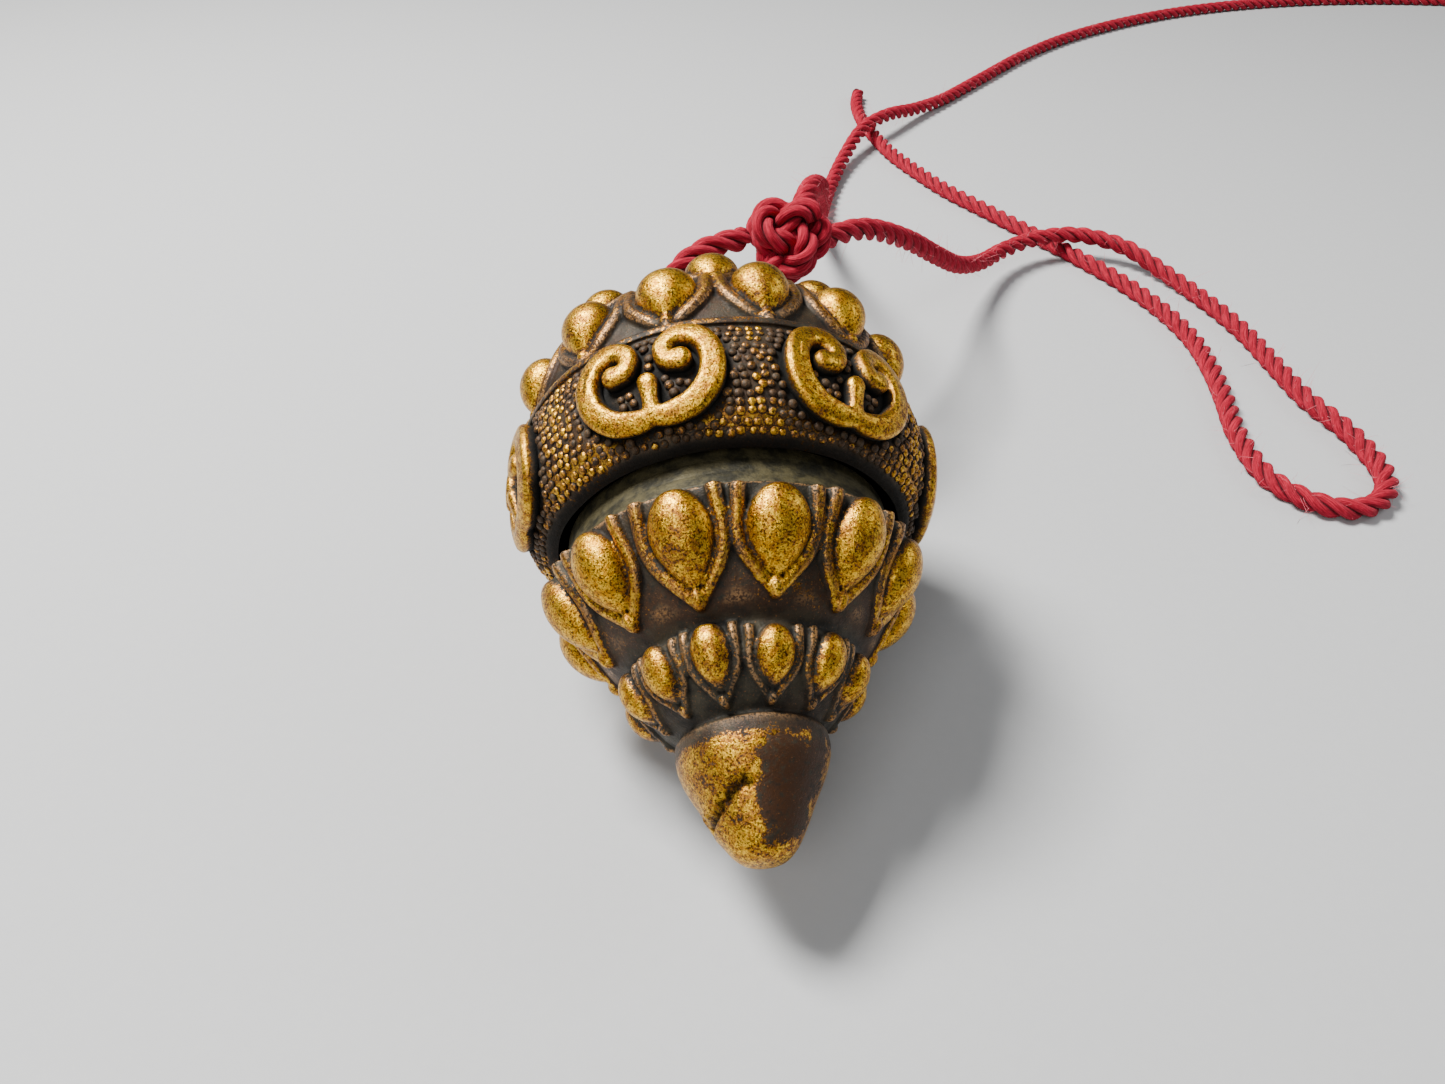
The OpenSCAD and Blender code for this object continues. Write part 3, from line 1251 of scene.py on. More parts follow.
@dataclass
class HangingCord:
    """The red cord: a loop through the eye, a knot and two loose tails.

    All lengths are in the frame's millimetres, and the routes are the design's.

    Attributes:
        ply: Shape of the cord.
        knot_at: Middle of the knot.
        knot_reach: Mean distance of a strand from the knot's middle.
        knot_swing: How far a strand swings in and out of that distance.
        knot_rise: How far a strand swings up and down.
        knot_part: Distance between the two strands.
        knot_lean: Degrees that the knot is tipped about X, then turned about Z.
        fibre: Radius of one fibre of the fuzz.
        fibres: Fibres on each tail.
        clear: Least height of a fibre over the table.
        fuzz_seed: Start of the fuzz's random draws.
        loop_route: Route through the eye.
        long_route: Route of the long tail.
        short_route: Route of the short tail.
    """

    ply: ThreePly = ThreePly()
    knot_at: Point = (8, 28.5, 21)
    knot_reach: float = 1.75
    knot_swing: float = 1.0
    knot_rise: float = 1.05
    knot_part: float = 1.3
    knot_lean: tuple[float, float] = (48, 18)
    fibre: float = 0.017
    fibres: int = 900
    clear: float = 0.03
    fuzz_seed: int = 900
    loop_route: tuple[Point, ...] = (
        (7, 27.2, 20), (5.4, 23.8, 19), (3.6, 20.6, 18.5), (1.6, 18.6, 18.3),
        (0, 18.3, 18.25), (-1.6, 18.8, 18.5), (-2.5, 20.4, 19.5), (-2.1, 22.6, 20.7),
        (0.4, 25.2, 21.7), (4.6, 27.4, 21.9),
    )
    long_route: tuple[Point, ...] = (
        (9, 30, 22.3), (11, 36, 22), (13, 42.5, 19.5), (14.5, 49.5, 15.5), (16, 56.5, 11),
        (17.5, 63.5, 6.8), (19, 71, 3.4), (21, 79, 1.6), (23.5, 87, 1.1), (27, 95.5, 1.8),
        (31, 102.5, 3.1), (36, 108, 3.1), (42, 114, 1.8), (49, 121, 1), (58, 130.5, 1),
        (69, 142, 1), (81, 152, 1), (95, 160.5, 1), (110, 167, 1), (126, 171, 1),
        (142, 172.5, 1), (158, 171.5, 1), (172, 168.5, 1), (182, 164.5, 1),
    )
    short_route: tuple[Point, ...] = (
        (10, 29.5, 20), (15.5, 34, 19), (21, 39, 15.5), (26, 44.5, 11), (30.5, 50, 7),
        (35, 55.5, 4.4), (39.5, 60.5, 3.3), (44.5, 63.5, 3.1), (50, 64, 3.1),
        (55, 61.5, 2.5), (58.5, 56.5, 1.3), (60.5, 50, 1), (61.5, 43, 1), (61.5, 36, 1),
        (61.5, 29.5, 1), (62.5, 24, 1), (62.4, 18.6, 1), (61.3, 15.3, 1), (59.2, 13.2, 1),
        (56.8, 12.5, 1), (54.4, 13.2, 1), (52.3, 15.3, 1), (51.2, 18.6, 1), (51.7, 24.5, 1),
        (53.3, 30.5, 1), (54.6, 36.5, 1), (55.2, 42.5, 1), (54.5, 49, 1), (52.5, 56, 1),
        (49.5, 63, 1), (46, 70, 1), (42.5, 77, 1), (39, 84, 1), (36.5, 91, 1),
        (34.5, 98, 1), (33.5, 105, 1), (33, 112, 1), (33.5, 119, 1), (35, 125, 1),
    )

    def knot(self) -> bpy.types.Object:
        """Ties the knot: two strands side by side, each a trefoil.

        Returns:
            The knot.
        """
        t = np.linspace(0, 2 * math.pi, 260)
        pitch, turn = (math.radians(angle) for angle in self.knot_lean)
        lean = Matrix.Rotation(pitch, 3, "X") @ Matrix.Rotation(turn, 3, "Z")
        strands = []
        for number, side in enumerate((-1, 1)):
            reach = self.knot_reach + self.knot_swing * np.cos(3 * t + 0.35 * side)
            rise = self.knot_rise * np.sin(3 * t + 0.35 * side) + 0.5 * side * self.knot_part
            turn = 2 * t + 0.12 * side
            bight = np.stack([reach * np.cos(turn), reach * np.sin(turn), rise], 1)
            route = bight @ np.array(lean).T + np.array(self.knot_at)
            strands.append(self.ply.lay_up(f"knot_strand_{number}", route, 0.4 + number))
        return joined("cord_knot_tied", strands)

    def fuzz(self, name: str, path: np.ndarray) -> bpy.types.Object:
        """Scatters fine fibres that stand off the cord.

        Args:
            name: Name of the piece.
            path: Rows of x, y, z along the cord, in millimetres.

        Returns:
            The fibres as one mesh.
        """
        draw = np.random.default_rng(self.fuzz_seed)
        reach = 0.5 * self.ply.across
        points, faces = [], []
        for _ in range(self.fibres):
            spot = path[draw.integers(2, len(path) - 2)]
            out = draw.normal(size=3)
            out /= np.linalg.norm(out)
            drift = draw.normal(size=3) * 0.8
            bend = draw.normal(size=3) * 0.5
            size = draw.uniform(0.35, 1.15)
            for k in range(4):
                s = k / 3
                at = spot + out * reach * 0.75 + size * (s * (0.7 * out + drift) + s * s * bend)
                thin = self.fibre * (1.15 - 0.8 * s)
                for j in range(3):
                    a = 2 * math.pi * j / 3
                    section = np.array([math.cos(a), math.sin(a), 0.4 * math.sin(a + 1)])
                    ring = at + thin * section
                    ring[2] = max(ring[2], self.clear)
                    points.append(ring * MM)
            low = len(points) - 12
            for k in range(3):
                for j in range(3):
                    a, b = low + 3 * k + j, low + 3 * k + (j + 1) % 3
                    faces.append((a, b, b + 3, a + 3))
            faces.append((low + 2, low + 1, low))
            faces.append((low + 9, low + 10, low + 11))
        return meshed(name, np.array(points), faces)

    def build(self) -> None:
        """Makes the loop, the knot, both tails and their fuzz."""
        crimson = TwistedCotton().material()
        fluff = Fibrous("cord_fuzz", (0.75, 0.22, 0.25), (0.45, 0.06, 0.09), depth=0.0).material()
        loop_path = spline(self.loop_route, 10)
        loop = self.ply.lay_up("cord_eye_loop", loop_path, 1.1)
        knot = self.knot()
        self.finish(loop, crimson, "cord_loop")
        self.finish(knot, crimson, "cord_knot")
        tails = (
            ("cord_tail_long", self.long_route, "cord_long_tail", 0.0, [loop, knot]),
            ("cord_tail_short", self.short_route, "cord_short_tail", 1.6, []),
        )
        for name, route, node, singe, others in tails:
            path = spline(route, 8)
            tail = self.ply.lay_up(name, path, 0.2, singe)
            self.finish(tail, crimson, node)
            haze = self.fuzz(name + "_fuzz", even(path, 0.3))
            self.finish(haze, fluff)
            length = float(np.linalg.norm(np.diff(path, axis=0), axis=1).sum()) * MM
            LOG.info("%s: %.0f mm", name, length / MM)

    @staticmethod
    def finish(piece: bpy.types.Object, material: bpy.types.Material, node: str = "") -> None:
        """Dresses one piece of the cord and hands it to the cap.

        Args:
            piece: The piece.
            material: Its finish.
            node: The design's node that it stands for, if any.
        """
        piece.data.materials.append(material)
        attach(piece, Body.CAP.value)
        if node:
            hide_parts(node)


# ------------------------------------------------------------------ castings

CAP_OUTSIDE = (
    (11.3, 0), (11.8, 0.1), (12.4, 0.6), (13.1, 1.4), (13.6, 2.7), (13.9, 4.5),
    (13.75, 6.4), (13.45, 7.5), (13.65, 7.7), (13.55, 8.2), (12.8, 8.6),
    (12.7, 10.2), (12.2, 12.1), (11.1, 14.1), (9.1, 15.9), (6.6, 17), (4.5, 17.3),
    (3.5, 16.95), (3, 16.8),
)
LOTUS_OUTSIDE = (
    (0, -20.9), (1.1, -20.75), (1.8, -20.25), (2.35, -19.5), (2.9, -18.5),
    (3.45, -17.4), (4.0, -16.4), (4.45, -15.4), (4.65, -14.5), (4.63, -13.7),
    (4.4, -13.3), (5.2, -12.6), (6.3, -11.3), (6.95, -10.2), (7.15, -9.5),
    (7.1, -9.1), (7.35, -8.8), (8.3, -8), (9.3, -6.6), (10.3, -5.1), (11.1, -3.8),
    (11.5, -3.1), (11.65, -2.6),
)


FAR = 9.0  # a gap that counts as clear of everything, in millimetres


def bearing_of(points: np.ndarray) -> np.ndarray:
    """Returns each point's degrees round from the upward side, -180 to 180."""
    turn = np.degrees(np.arctan2(points[:, 1], points[:, 0])) + 90
    return (turn + 180) % 360 - 180


@dataclass(frozen=True)
class Petal:
    """One petal, modelled flat with its point towards -Y, in millimetres.

    Attributes:
        width: Width of the boss.
        length: Length of the boss.
        rise: Height of the boss.
        ridge: Radius of the ridge that hugs the boss.
        reach: Distance from the boss's round end to the petal's point.
        groove: Gap between the boss and the ridge.
        widest: Share of the way to the pointed end at which the boss is widest.
    """

    width: float
    length: float
    rise: float
    ridge: float
    reach: float
    groove: float = 0.07
    widest: float = 0.40

    def girth(self, down: np.ndarray) -> np.ndarray:
        """Works out the boss's outline.

        Args:
            down: Share of the way from the round end to the pointed end.

        Returns:
            Half of the boss's width there.
        """
        widest = self.widest
        above = np.clip(down / widest, 0, 1)
        below = np.clip((1 - down) / (1 - widest), 0, 1)
        top = np.sqrt(np.clip(1 - (1 - above) ** 2.1, 0, 1))
        bottom = np.sin(below * math.pi / 2) ** 0.85
        return 0.5 * self.width * np.where(down < widest, top, bottom)

    def boss(self) -> bpy.types.Object:
        """Models the domed boss, drawn to a point at one end.

        Returns:
            The boss.
        """
        deselect()
        bpy.ops.mesh.primitive_uv_sphere_add(segments=40, ring_count=30, radius=1)
        piece = added("boss")
        ball = coords(piece)
        down = (1 - ball[:, 2]) / 2
        ring = np.hypot(ball[:, 0], ball[:, 1]).clip(1e-6)
        girth = self.girth(down)
        height = self.rise * girth / (0.5 * self.width)
        along = ball[:, 2] * self.length / 2
        rows = [ball[:, 0] / ring * girth, along, -ball[:, 1] / ring * height]
        set_coords(piece, np.stack(rows, 1))
        return piece

    def outline(self) -> bpy.types.Object:
        """Models the ridge that runs down both sides to the point.

        Returns:
            The ridge.
        """
        down = np.array([0.0, 0.15, 0.3, 0.42, 0.55, 0.67, 0.79, 0.90])
        girth = np.where(down < self.widest, 0.5 * self.width, self.girth(down))
        top = self.length / 2
        side = [
            (g + self.groove + 0.8 * self.ridge, top - d * self.length, 0.0)
            for g, d in zip(girth, down)
        ]
        side.append((0.45 * self.ridge, top - 0.95 * self.reach, -0.05))
        route = side + [(0.0, top - self.reach, -0.05)] + [(-x, y, z) for x, y, z in side[::-1]]
        path = spline(route, 6)
        share = np.clip((top - path[:, 1]) / self.reach, 0, 1)
        return swept("outline", path, self.ridge * (1.0 - 0.28 * share**2), 3)

    def nib(self) -> bpy.types.Object:
        """Models the small swell at the petal's point.

        Returns:
            The swell.
        """
        deselect()
        spot = (0, self.length / 2 - self.reach * 0.93, 0)
        bpy.ops.mesh.primitive_uv_sphere_add(segments=16, ring_count=10, radius=1, location=spot)
        piece = added("nib")
        piece.scale = (self.ridge * 0.95, self.ridge * 1.5, self.ridge * 1.25)
        bpy.ops.object.transform_apply(location=True, rotation=True, scale=True)
        return piece

    def build(self) -> bpy.types.Object:
        """Returns the whole flat petal."""
        return joined("petal", [self.boss(), self.outline(), self.nib()])


@dataclass(frozen=True)
class PetalRow:
    """A ring of equal petals on a turned surface.

    Attributes:
        petal: The petal that repeats.
        count: How many go round.
        first: Degrees of the first one round from the upward side.
        height: Height of the bosses' middles.
        unevenness: Share by which the hand-cut petals differ in size.
    """

    petal: Petal
    count: int
    first: float
    height: float
    unevenness: float = 0.03

    def build(self, surface: Turning) -> list[bpy.types.Object]:
        """Wraps the petals round a surface.

        Args:
            surface: The surface that carries them.

        Returns:
            The petals.
        """
        flat = self.petal.build()
        row = [flat] + [copied(flat) for _ in range(self.count - 1)]
        draw = np.random.default_rng(self.count * 10 + int(self.height))
        for number, piece in enumerate(row):
            size = draw.normal(1.0, self.unevenness, 3)
            set_coords(piece, coords(piece) * size)
            angle = self.first + number * 360 / self.count
            angle += draw.normal(0, 20 * self.unevenness)
            height = self.height + draw.normal(0, 3 * self.unevenness)
            surface.wrap(piece, height, angle)
        return row


@dataclass
class LotusBody:
    """The turning body: two tiers of petals over a bullet tip, one casting.

    Attributes:
        place: How it is laid down.
        surface: Its outside.
        cavity: Points of radius and height along its inside.
        rows: Its tiers of petals.
        notch: Degrees and heights along the notch in the tip.
        voxel: Grain of the casting.
        most: Triangles that it may have.
    """

    place: Placement
    surface: Turning = Turning(LOTUS_OUTSIDE, 5)
    cavity: tuple[tuple[float, float], ...] = (
        (9.8, -2.6), (9.8, -3.6), (9.2, -3.6), (5.9, -8.2), (5.9, -9.2), (5.3, -9.8),
        (1.6, -9.8), (1.6, -12.4), (0, -12.4),
    )
    rows: tuple[PetalRow, ...] = (
        PetalRow(Petal(3.65, 5.8, 1.50, 0.50, 6.7), 12, 10.0, -5.15),
        PetalRow(Petal(2.3, 3.7, 0.95, 0.32, 4.5, 0.04), 12, 11.0, -10.9),
    )
    notch: tuple[tuple[float, float], ...] = (
        (-100, -18.5), (-74, -18.35), (-50, -18.0), (-32, -17.45), (-19, -17.0), (-13, -17.1),
    )
    voxel: float = 0.095
    most: int = 170000

    def build(self) -> bpy.types.Object:
        """Casts the body, marks its wear, painted shade and painted highlight, and lays it in
        place.

        Returns:
            The finished piece.
        """
        section = np.vstack([self.surface.line(), self.cavity])
        parts = [spun("lotus_blank", section, False)]
        for row in self.rows:
            parts += row.build(self.surface)
        piece = joined("lotus_casting", parts)
        fuse(piece, self.voxel, self.most)
        self.cut_notch(piece)
        self.mark(piece)
        self.place.settle(piece)
        piece.data.materials.append(AntiqueBrass().material())
        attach(piece, Body.LOTUS.value)
        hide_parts("lotus_shell")
        LOG.info("lotus body: %d faces", len(piece.data.polygons))
        return piece

    def notch_gap(self, points: np.ndarray) -> np.ndarray:
        """Measures how far points are from the notch's line.

        Args:
            points: Rows of x, y, z.

        Returns:
            The distances.
        """
        turn = bearing_of(points)
        radii, heights = np.array(LOTUS_OUTSIDE).T
        gap = np.full(len(points), FAR)
        for angle, height in spline(self.notch, 8):
            reach = np.interp(height, heights, radii)
            across = np.radians(turn - angle) * reach
            gap = np.minimum(gap, np.hypot(across, points[:, 2] - height))
        return gap

    def cut_notch(self, piece: bpy.types.Object) -> None:
        """Presses the curled notch into the tip and adds the hand's unevenness.

        Args:
            piece: The upright casting.
        """
        points = coords(piece)
        skin = smoothstep(-0.6, -0.1, self.surface.relief(points))
        push = 0.045 * hand_cast(points, 2.1, 0.7) * skin
        on_tip = smoothstep(-14.5, -15.5, points[:, 2])
        push += 0.10 * hand_cast(points, 3.3, 2.2) * on_tip * skin
        gap = self.notch_gap(points)
        push -= 0.42 * np.exp(-((gap / 0.30) ** 2)) * on_tip * skin
        lip = (points[:, 2] < -17.9) & (bearing_of(points) < -10)
        push += 0.10 * np.exp(-(((gap - 0.55) / 0.3) ** 2)) * lip * on_tip * skin
        push_out(piece, push)

    def mark(self, piece: bpy.types.Object) -> None:
        """Stores where the casting is worn and tarnished, where its hollows carry black patina and
        painted shade, and where thin edges carry a painted highlight.

        Args:
            piece: The upright casting.
        """
        points = coords(piece)
        height, turn = points[:, 2], bearing_of(points)
        relief = self.surface.relief(points)
        proud = curvature(piece)
        slow = hand_cast(points, 2.6, 1.1)
        tip = smoothstep(-13.2, -14.2, height)
        boss = smoothstep(0.30, 0.62, relief) * (1 - tip)
        ridge = smoothstep(0.08, 0.24, relief) * (1 - tip)
        skirt = smoothstep(-6.0, -7.3, height) * smoothstep(-9.0, -8.3, height) * (1 - boss)
        gilt = 0.08 + 0.10 * slow + 0.34 * ridge * (1 - boss) + 0.60 * boss + 0.22 * skirt
        rough_edge = hand_cast(points, 0.62, 0.3) + 0.5 * hand_cast(points, 0.27, 1.9)
        dark = smoothstep(-9, 9, turn + 7 * slow + 11 * rough_edge)
        dark *= smoothstep(82, 50, turn + 9 * rough_edge)
        dark *= smoothstep(-14.2, -15.6, height + 0.35 * rough_edge)
        dark *= smoothstep(-20.2, -19.3, height + 0.3 * rough_edge)
        on_tip = 0.64 + 0.07 * slow + 0.04 * rough_edge - 0.44 * dark
        on_tip -= 0.42 * smoothstep(-15.0, -14.0, height)
        gilt = gilt * (1 - tip) + on_tip * tip
        brown = np.maximum(0.3 * smoothstep(0.0, 0.5, slow), 0.7 * skirt)
        brown = np.maximum(brown, tip * (0.35 + 0.65 * dark))
        # black patina and painted shade in the hollows, in the notch and inside the casting
        dark_patina_and_shade = smoothstep(0.020, 0.075, -proud) * 0.9
        dark_patina_and_shade = np.maximum(dark_patina_and_shade, np.exp(-((self.notch_gap(points) / 0.25) ** 2)) * tip)
        dark_patina_and_shade = np.maximum(dark_patina_and_shade, smoothstep(-0.9, -1.2, relief))
        # thin edges lightened: real wear and a painted highlight
        rub_and_highlight = smoothstep(0.020, 0.055, proud) * (1 - boss) * (1 - tip)
        set_marks(piece, {"gilt": gilt, "brown": brown, "dark_patina_and_shade": dark_patina_and_shade, "rub_and_highlight": 0.8 * rub_and_highlight})


@dataclass(frozen=True)
class ScrollOrnament:
    """Cloud-scroll ornament: two curled volutes about a bud, drawn flat.

    Attributes:
        rise: Height over the band.
        sunk: Depth under the band.
        most: Triangles that it may have.
        volute: Points of x, y and half-width along the right-hand volute.
        bud: The same along the bud.
    """

    rise: float = 0.85
    sunk: float = 0.5
    most: int = 6000
    volute: tuple[tuple[float, float, float], ...] = (
        (0.0, -2.55, 0.60), (1.1, -2.62, 0.70), (2.5, -2.2, 0.78), (3.6, -1.0, 0.82),
        (3.85, 0.6, 0.80), (3.2, 2.0, 0.78), (2.0, 2.45, 0.74), (1.1, 1.7, 0.68),
        (1.25, 0.7, 0.66), (2.05, 0.55, 0.74),
    )
    bud: tuple[tuple[float, float, float], ...] = (
        (0.0, -2.5, 0.66), (0.0, -1.7, 0.54), (0.0, -1.0, 0.60), (0.0, -0.55, 0.66),
    )

    def strokes(self) -> list[np.ndarray]:
        """Draws the strokes.

        Returns:
            Each stroke as rows of x, y and half-width.
        """
        right = spline(self.volute, 5)
        return [right, right * np.array([-1, 1, 1]), spline(self.bud, 5)]

    def gap(self, flat: np.ndarray) -> np.ndarray:
        """Measures how far flat points are from the strokes' edges.

        Args:
            flat: Rows of x and y.

        Returns:
            The distances, negative inside a stroke.
        """
        gap = np.full(len(flat), FAR)
        for x, y, half in np.vstack(self.strokes()):
            gap = np.minimum(gap, np.hypot(flat[:, 0] - x, flat[:, 1] - y) - half)
        return gap

    def build(self) -> bpy.types.Object:
        """Models the flat ornament with softly flattened tops.

        Returns:
            The ornament.
        """
        bars = []
        for stroke in self.strokes():
            path = np.column_stack([stroke[:, :2], np.zeros(len(stroke))])
            bars.append(swept("stroke", path, stroke[:, 2], 4))
            for x, y, half in (stroke[0], stroke[-1]):
                deselect()
                bpy.ops.mesh.primitive_uv_sphere_add(
                    segments=20, ring_count=12, radius=half, location=(x, y, 0)
                )
                ball = added("stroke_end")
                bpy.ops.object.transform_apply(location=True, rotation=True, scale=True)
                bars.append(ball)
        piece = joined("scroll_ornament", bars)
        fuse(piece, 0.075, 10**6)
        points = coords(piece)
        top = points[:, 2].max()
        up = np.clip(points[:, 2] / top, -1, 1)
        lifted = self.rise * (1 - (1 - np.clip(up, 0, 1)) ** 1.9)
        points[:, 2] = np.where(up > 0, lifted, up * self.sunk)
        set_coords(piece, points)
        apply_modifier(piece, "DECIMATE", ratio=self.most / len(piece.data.polygons))
        return piece


@dataclass
class CrownedCap:
    """The fixed cap: an ornament band under a crown of petals.

    Attributes:
        place: How it is laid down.
        surface: Its outside.
        seam: Height at which the crown's casting meets the band.
        seam_radius: Radius there.
        ornament: The ornament that repeats.
        ornament_at: Degrees of the ornaments round from the upward side.
        ornament_height: Height of their middles.
        pearl: Mean radius of a pearl.
        pearl_pitch: Distance between neighbouring pearls.
        pearls_from: Height where the pearls start.
        pearls_to: Height where they end.
        pearl_clear: Least distance from a pearl's middle to an ornament.
        voxel: Grain of the crown's casting.
        most: Triangles that the crown may have.
        rows: The crown's rows of petals.
        band_inside: Points of radius and height along the band's inside.
        crown_inside: The same along the crown's inside.
    """

    place: Placement
    surface: Turning = Turning(CAP_OUTSIDE, 5)
    seam: float = 8.45
    seam_radius: float = 13.08
    ornament: ScrollOrnament = ScrollOrnament()
    ornament_at: tuple[float, ...] = (-79, -20, 32, 90, 148, 212)
    ornament_height: float = 4.3
    pearl: float = 0.30
    pearl_pitch: float = 0.63
    pearls_from: float = 0.5
    pearls_to: float = 7.55
    pearl_clear: float = 0.24
    voxel: float = 0.1
    most: int = 160000
    rows: tuple[PetalRow, ...] = (
        PetalRow(Petal(3.9, 4.5, 1.75, 0.58, 5.1), 13, 12.846, 11.3),
        PetalRow(Petal(3.6, 3.9, 1.65, 0.50, 4.4), 8, 0.0, 14.9),
        PetalRow(Petal(2.6, 2.9, 1.25, 0.36, 3.3), 6, 25.0, 16.75),
    )
    band_inside: tuple[tuple[float, float], ...] = (
        (11.81, 8.45), (12.0, 8), (12.5, 5), (12.2, 2.6), (11.3, 0.5),
    )
    crown_inside: tuple[tuple[float, float], ...] = (
        (1.25, 16.8), (1.25, 1.45), (3.2, 1.45), (3.2, 14.6), (7.2, 13.8), (9.4, 12.8),
        (10.7, 11), (11.81, 8.45),
    )

    def ornament_gap(self, points: np.ndarray) -> np.ndarray:
        """Measures how far points of the band are from an ornament's edge.

        Args:
            points: Rows of x, y, z.

        Returns:
            The distances over the band.
        """
        line, run = self.surface.line(), self.surface.run()
        along = np.interp(points[:, 2], line[:, 1], run)
        rise = along - self.surface.run_at_height(self.ornament_height)
        radius = np.hypot(points[:, 0], points[:, 1])
        turn = bearing_of(points)
        gap = np.full(len(points), FAR)
        for angle in self.ornament_at:
            across = np.radians((turn - angle + 180) % 360 - 180) * radius
            near = np.abs(across) < 7.5
            flat = np.stack([across[near], rise[near]], 1)
            gap[near] = np.minimum(gap[near], self.ornament.gap(flat))
        return gap

    def band_ground(self) -> bpy.types.Object:
        """Turns the band, sinks a moat round each ornament and marks its wear, painted shade and
        painted highlight.

        Returns:
            The band without ornaments and pearls.
        """
        line = self.surface.line()
        lower = line[line[:, 1] <= self.seam]
        section = np.vstack([lower, [[self.seam_radius, self.seam]], self.band_inside])
        ground = spun("band_ground", section, True, 300)
        points = coords(ground)
        outer = smoothstep(-0.3, -0.05, self.surface.relief(points))
        gap = self.ornament_gap(points)
        push = 0.05 * hand_cast(points, 1.9, 3.0) * outer
        push -= 0.16 * smoothstep(0.7, 0.15, gap) * outer
        push_out(ground, push)
        points = coords(ground)
        gold_rim = np.exp(-(((points[:, 2] - 1.0) / 0.55) ** 2)) * outer
        lip = np.exp(-(((points[:, 2] - 8.0) / 0.45) ** 2)) * outer
        # bottom strip of the band, darkened below as the painted shadow under it
        edge = smoothstep(0.42, 0.12, points[:, 2])
        slow = hand_cast(points, 3.1, 0.4)
        marks = {
            "gilt": 0.26 + 0.32 * gold_rim + 0.24 * lip + 0.16 * slow,
            "brown": 0.45 + 0.35 * slow,
            # painted shade in the moats and inside the band, painted shadow along its bottom edge
            "dark_patina_and_shade": np.maximum.reduce([0.95 * smoothstep(0.75, 0.1, gap), 1 - outer, 0.8 * edge]),
            # gilt rim lightened a little: real wear and a painted highlight
            "rub_and_highlight": 0.25 * gold_rim,
        }
        set_marks(ground, marks)
        return ground

    def ornaments(self) -> bpy.types.Object:
        """Lays the six ornaments on the band and marks their wear, painted shade and painted
        highlight.

        Returns:
            The ornaments as one mesh.
        """
        flat = self.ornament.build()
        row = [flat] + [copied(flat) for _ in self.ornament_at[1:]]
        for piece, angle in zip(row, self.ornament_at):
            self.surface.wrap(piece, self.ornament_height, angle)
        piece = joined("band_ornaments", row)
        relief = self.surface.relief(coords(piece))
        smooth_shade(piece, 80)
        # low relief round each ornament: black patina and painted shade in the moat
        low = smoothstep(0.42, 0.12, relief)
        proud = smoothstep(0.25, 0.55, relief)
        # sides of the strokes, lightened as real wear and a painted highlight
        edge = smoothstep(0.30, 0.50, relief) * smoothstep(0.72, 0.55, relief)
        marks = {
            "gilt": 0.22 + 0.46 * proud,
            "brown": np.full(len(relief), 0.2),
            "dark_patina_and_shade": low,
            "rub_and_highlight": 0.35 * edge,
        }
        set_marks(piece, marks)
        return piece

    def pearl_shape(self) -> tuple[np.ndarray, list[tuple[int, ...]]]:
        """Models one pearl, a ball cut off flat underneath.

        Returns:
            Its points, with a radius of 1, and its faces.
        """
        deselect()
        bpy.ops.mesh.primitive_ico_sphere_add(subdivisions=2, radius=1)
        seed = added("pearl_seed")
        bpy.ops.object.mode_set(mode="EDIT")
        bpy.ops.mesh.select_all(action="SELECT")
        bpy.ops.mesh.bisect(
            plane_co=(0, 0, -0.3), plane_no=(0, 0, 1), use_fill=True, clear_inner=True
        )
        bpy.ops.object.mode_set(mode="OBJECT")
        shape = coords(seed)
        loops = [tuple(face.vertices) for face in seed.data.polygons]
        bpy.data.objects.remove(seed)
        return shape, loops

    def pearl_spots(self, draw: np.random.Generator) -> np.ndarray:
        """Sets out staggered rows of pearls, a little uneven.

        Args:
            draw: The random draws.

        Returns:
            Rows of angle and distance along the outline.
        """
        line, run = self.surface.line(), self.surface.run()
        start = self.surface.run_at_height(self.pearls_from)
        stop = self.surface.run_at_height(self.pearls_to)
        spots = []
        for row, at in enumerate(np.arange(start, stop, self.pearl_pitch * 0.87)):
            radius = float(np.interp(at, run, line[:, 0]))
            count = int(round(2 * math.pi * radius / self.pearl_pitch))
            turns = (np.arange(count) + 0.5 * (row % 2)) * 2 * math.pi / count
            turns += draw.normal(0, 0.07, count) / radius
            alongs = at + draw.normal(0, 0.06, count)
            spots += list(zip(turns, alongs))
        return np.array(spots)

    def pearls(self) -> bpy.types.Object:
        """Strews punched pearls between the ornaments and marks their wear, painted shade and
        painted highlight.

        Returns:
            The pearls as one mesh.
        """
        shape, loops = self.pearl_shape()
        draw = np.random.default_rng(7)
        turns, alongs = self.pearl_spots(draw).T
        line, run = self.surface.line(), self.surface.run()
        reach, rise = (np.interp(alongs, run, way) for way in line.T)
        out_r, out_z = (np.interp(alongs, run, way) for way in self.surface.outward().T)
        around = np.stack([np.cos(turns), np.sin(turns)], 1)
        centre = np.column_stack([around * reach[:, None], rise])
        gap = self.ornament_gap(centre)
        kept = np.flatnonzero(gap > self.pearl_clear)
        points, faces, gilts = [], [], []
        for index in kept:
            size = self.pearl * draw.uniform(0.82, 1.08)
            out = np.array([*(around[index] * out_r[index]), out_z[index]])
            way = np.array([-around[index][1], around[index][0], 0.0])
            up = np.cross(out, way)
            base = len(points) * len(shape)
            flat = shape * np.array([size, size, size * 0.72])
            points.append(centre[index] - 0.02 * out + flat @ np.stack([way, up, out]))
            faces += [tuple(base + k for k in loop) for loop in loops]
            open_field = float(smoothstep(0.2, 2.4, gap[index]))
            tone = 0.34 + 0.40 * open_field + draw.uniform(-0.16, 0.16)
            gilts.append(tone * smoothstep(0.0, 0.7, shape[:, 2]))
        piece = meshed("band_pearls", np.vstack(points), faces)
        smooth_shade(piece, 60)
        gilt = np.concatenate(gilts)
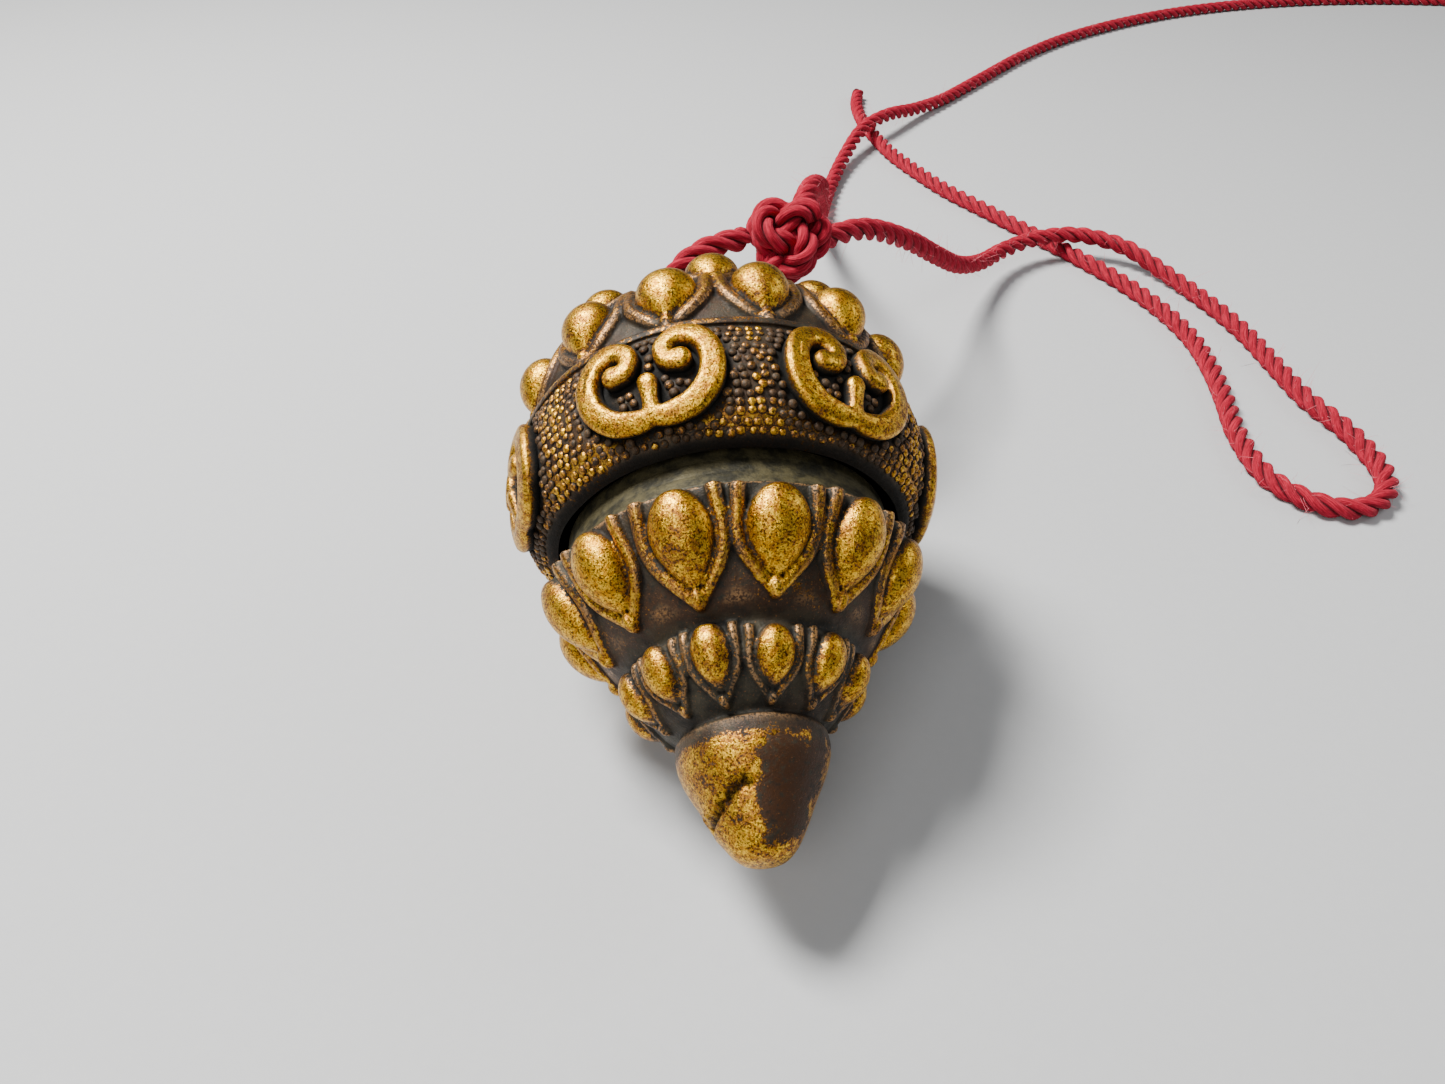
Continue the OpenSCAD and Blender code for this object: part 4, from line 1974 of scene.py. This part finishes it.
        # darker towards each pearl's base: painted shade between the pearls
        dark_patina_and_shade = np.tile(smoothstep(0.45, 0.05, shape[:, 2]) * 0.85, len(kept))
        # pearl tops lightened by rub: real wear and a painted highlight
        marks = {"gilt": gilt, "brown": np.full(len(gilt), 0.5), "dark_patina_and_shade": dark_patina_and_shade, "rub_and_highlight": 0.3 * gilt}
        set_marks(piece, marks)
        LOG.info("band: %d pearls", len(kept))
        return piece

    def crown(self) -> bpy.types.Object:
        """Casts the crown with its three rows of petals and marks its wear, painted shade and
        painted highlight.

        Returns:
            The crown, still upright.
        """
        line = self.surface.line()
        upper = line[line[:, 1] > self.seam]
        section = np.vstack([[[self.seam_radius, self.seam]], upper, self.crown_inside])
        parts = [spun("crown_blank", section, True)]
        for row in self.rows:
            parts += row.build(self.surface)
        piece = joined("crown_casting", parts)
        fuse(piece, self.voxel, self.most)
        points = coords(piece)
        relief = self.surface.relief(points)
        proud = curvature(piece)
        slow = hand_cast(points, 2.4, 2.9)
        boss = smoothstep(0.35, 0.7, relief)
        ridge = smoothstep(0.1, 0.3, relief)
        # thin edges lightened: real wear and a painted highlight
        rub_and_highlight = smoothstep(0.02, 0.055, proud) * (1 - boss)
        # black patina and painted shade in the hollows and inside the casting
        dark_patina_and_shade = np.maximum(smoothstep(0.020, 0.075, -proud) * 0.9, smoothstep(-0.9, -1.2, relief))
        marks = {
            "gilt": 0.08 + 0.1 * slow + 0.32 * ridge * (1 - boss) + 0.60 * boss,
            "brown": 0.25 + 0.5 * smoothstep(-0.2, 0.5, slow),
            "dark_patina_and_shade": dark_patina_and_shade,
            "rub_and_highlight": 0.8 * rub_and_highlight,
        }
        set_marks(piece, marks)
        return piece

    def build(self) -> None:
        """Makes the band and the crown and lays them in place."""
        brass = AntiqueBrass().material()
        band = joined("band_casting", [self.band_ground(), self.ornaments(), self.pearls()])
        for piece in (band, self.crown()):
            self.place.settle(piece)
            piece.data.materials.clear()
            piece.data.materials.append(brass)
            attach(piece, Body.CAP.value)
            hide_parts("cap_shell")
            LOG.info("%s: %d faces", piece.name, len(piece.data.polygons))


# --------------------------------------------------------------- inner works


@dataclass
class WheelWorks:
    """The design's own pieces that stay: neck, pin, bearing and scroll.

    Attributes:
        nodes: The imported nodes, by name.
    """

    nodes: dict

    def finishes(self) -> dict[str, bpy.types.Material]:
        """Makes the finishes.

        Returns:
            The material of each node that is kept, by the node's name.
        """
        neck = WornMetal("neck_brass", (0.072, 0.060, 0.026), (0.016, 0.0145, 0.007), 0.55, 0.5)
        drawn = WornMetal("drawn_brass", (0.60, 0.40, 0.12), (0.20, 0.11, 0.035), 0.36, 1.0)
        bronze = WornMetal("bush_bronze", (0.55, 0.29, 0.12), (0.28, 0.13, 0.05), 0.3, 1.0)
        steel = WornMetal("spring_steel", (0.55, 0.56, 0.58), (0.25, 0.25, 0.26), 0.3, 1.0)
        wood = Fibrous("turned_wood", (0.55, 0.36, 0.19), (0.32, 0.18, 0.08), (1, 1, 0.15))
        paper = Fibrous("scroll_paper", (0.80, 0.72, 0.55), (0.62, 0.52, 0.36), (4, 4, 0.3))
        cloth = Fibrous("wrap_cloth", (0.85, 0.47, 0.06), (0.62, 0.28, 0.02), (1, 1, 3), 6.0)
        thread = Fibrous("tie_thread", (0.60, 0.05, 0.06), (0.30, 0.01, 0.02), (2, 2, 2), 6.0)
        felt = Fibrous("packing_felt", (0.60, 0.54, 0.42), (0.38, 0.33, 0.25), (1, 1, 1), 5.0, 0.1)
        kept = {
            "neck_plate": neck, "eye_pin": drawn, "crown_washer": drawn,
            "upper_thrust_washer": steel, "lower_thrust_washer": steel,
            "retaining_clip": steel, "upper_bush": bronze, "lower_bush": bronze,
            "scroll_core": wood, "prayer_scroll": paper, "scroll_cloth": cloth,
            "scroll_ties": thread, "packing_ring": felt,
        }
        made: dict[str, bpy.types.Material] = {}
        for finish in kept.values():
            if finish.name not in made:
                made[finish.name] = finish.material()
        return {node: made[finish.name] for node, finish in kept.items()}

    def build(self) -> None:
        """Dresses every kept node."""
        for name, material in self.finishes().items():
            node = self.nodes[name]
            for slot in node.material_slots:
                slot.material = material
            if not node.material_slots:
                node.data.materials.append(material)
            LOG.info("%s: %s", name, material.name)


def main() -> None:
    """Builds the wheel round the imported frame."""
    logging.basicConfig(level=logging.INFO, format="%(message)s")
    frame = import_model()
    studio = Studio()
    studio.camera()
    HangingCord().build()
    studio.build()
    place = Placement.from_frame(frame)
    LotusBody(place).build()
    CrownedCap(place).build()
    WheelWorks(frame["nodes"]).build()


if __name__ == "__main__":
    main()
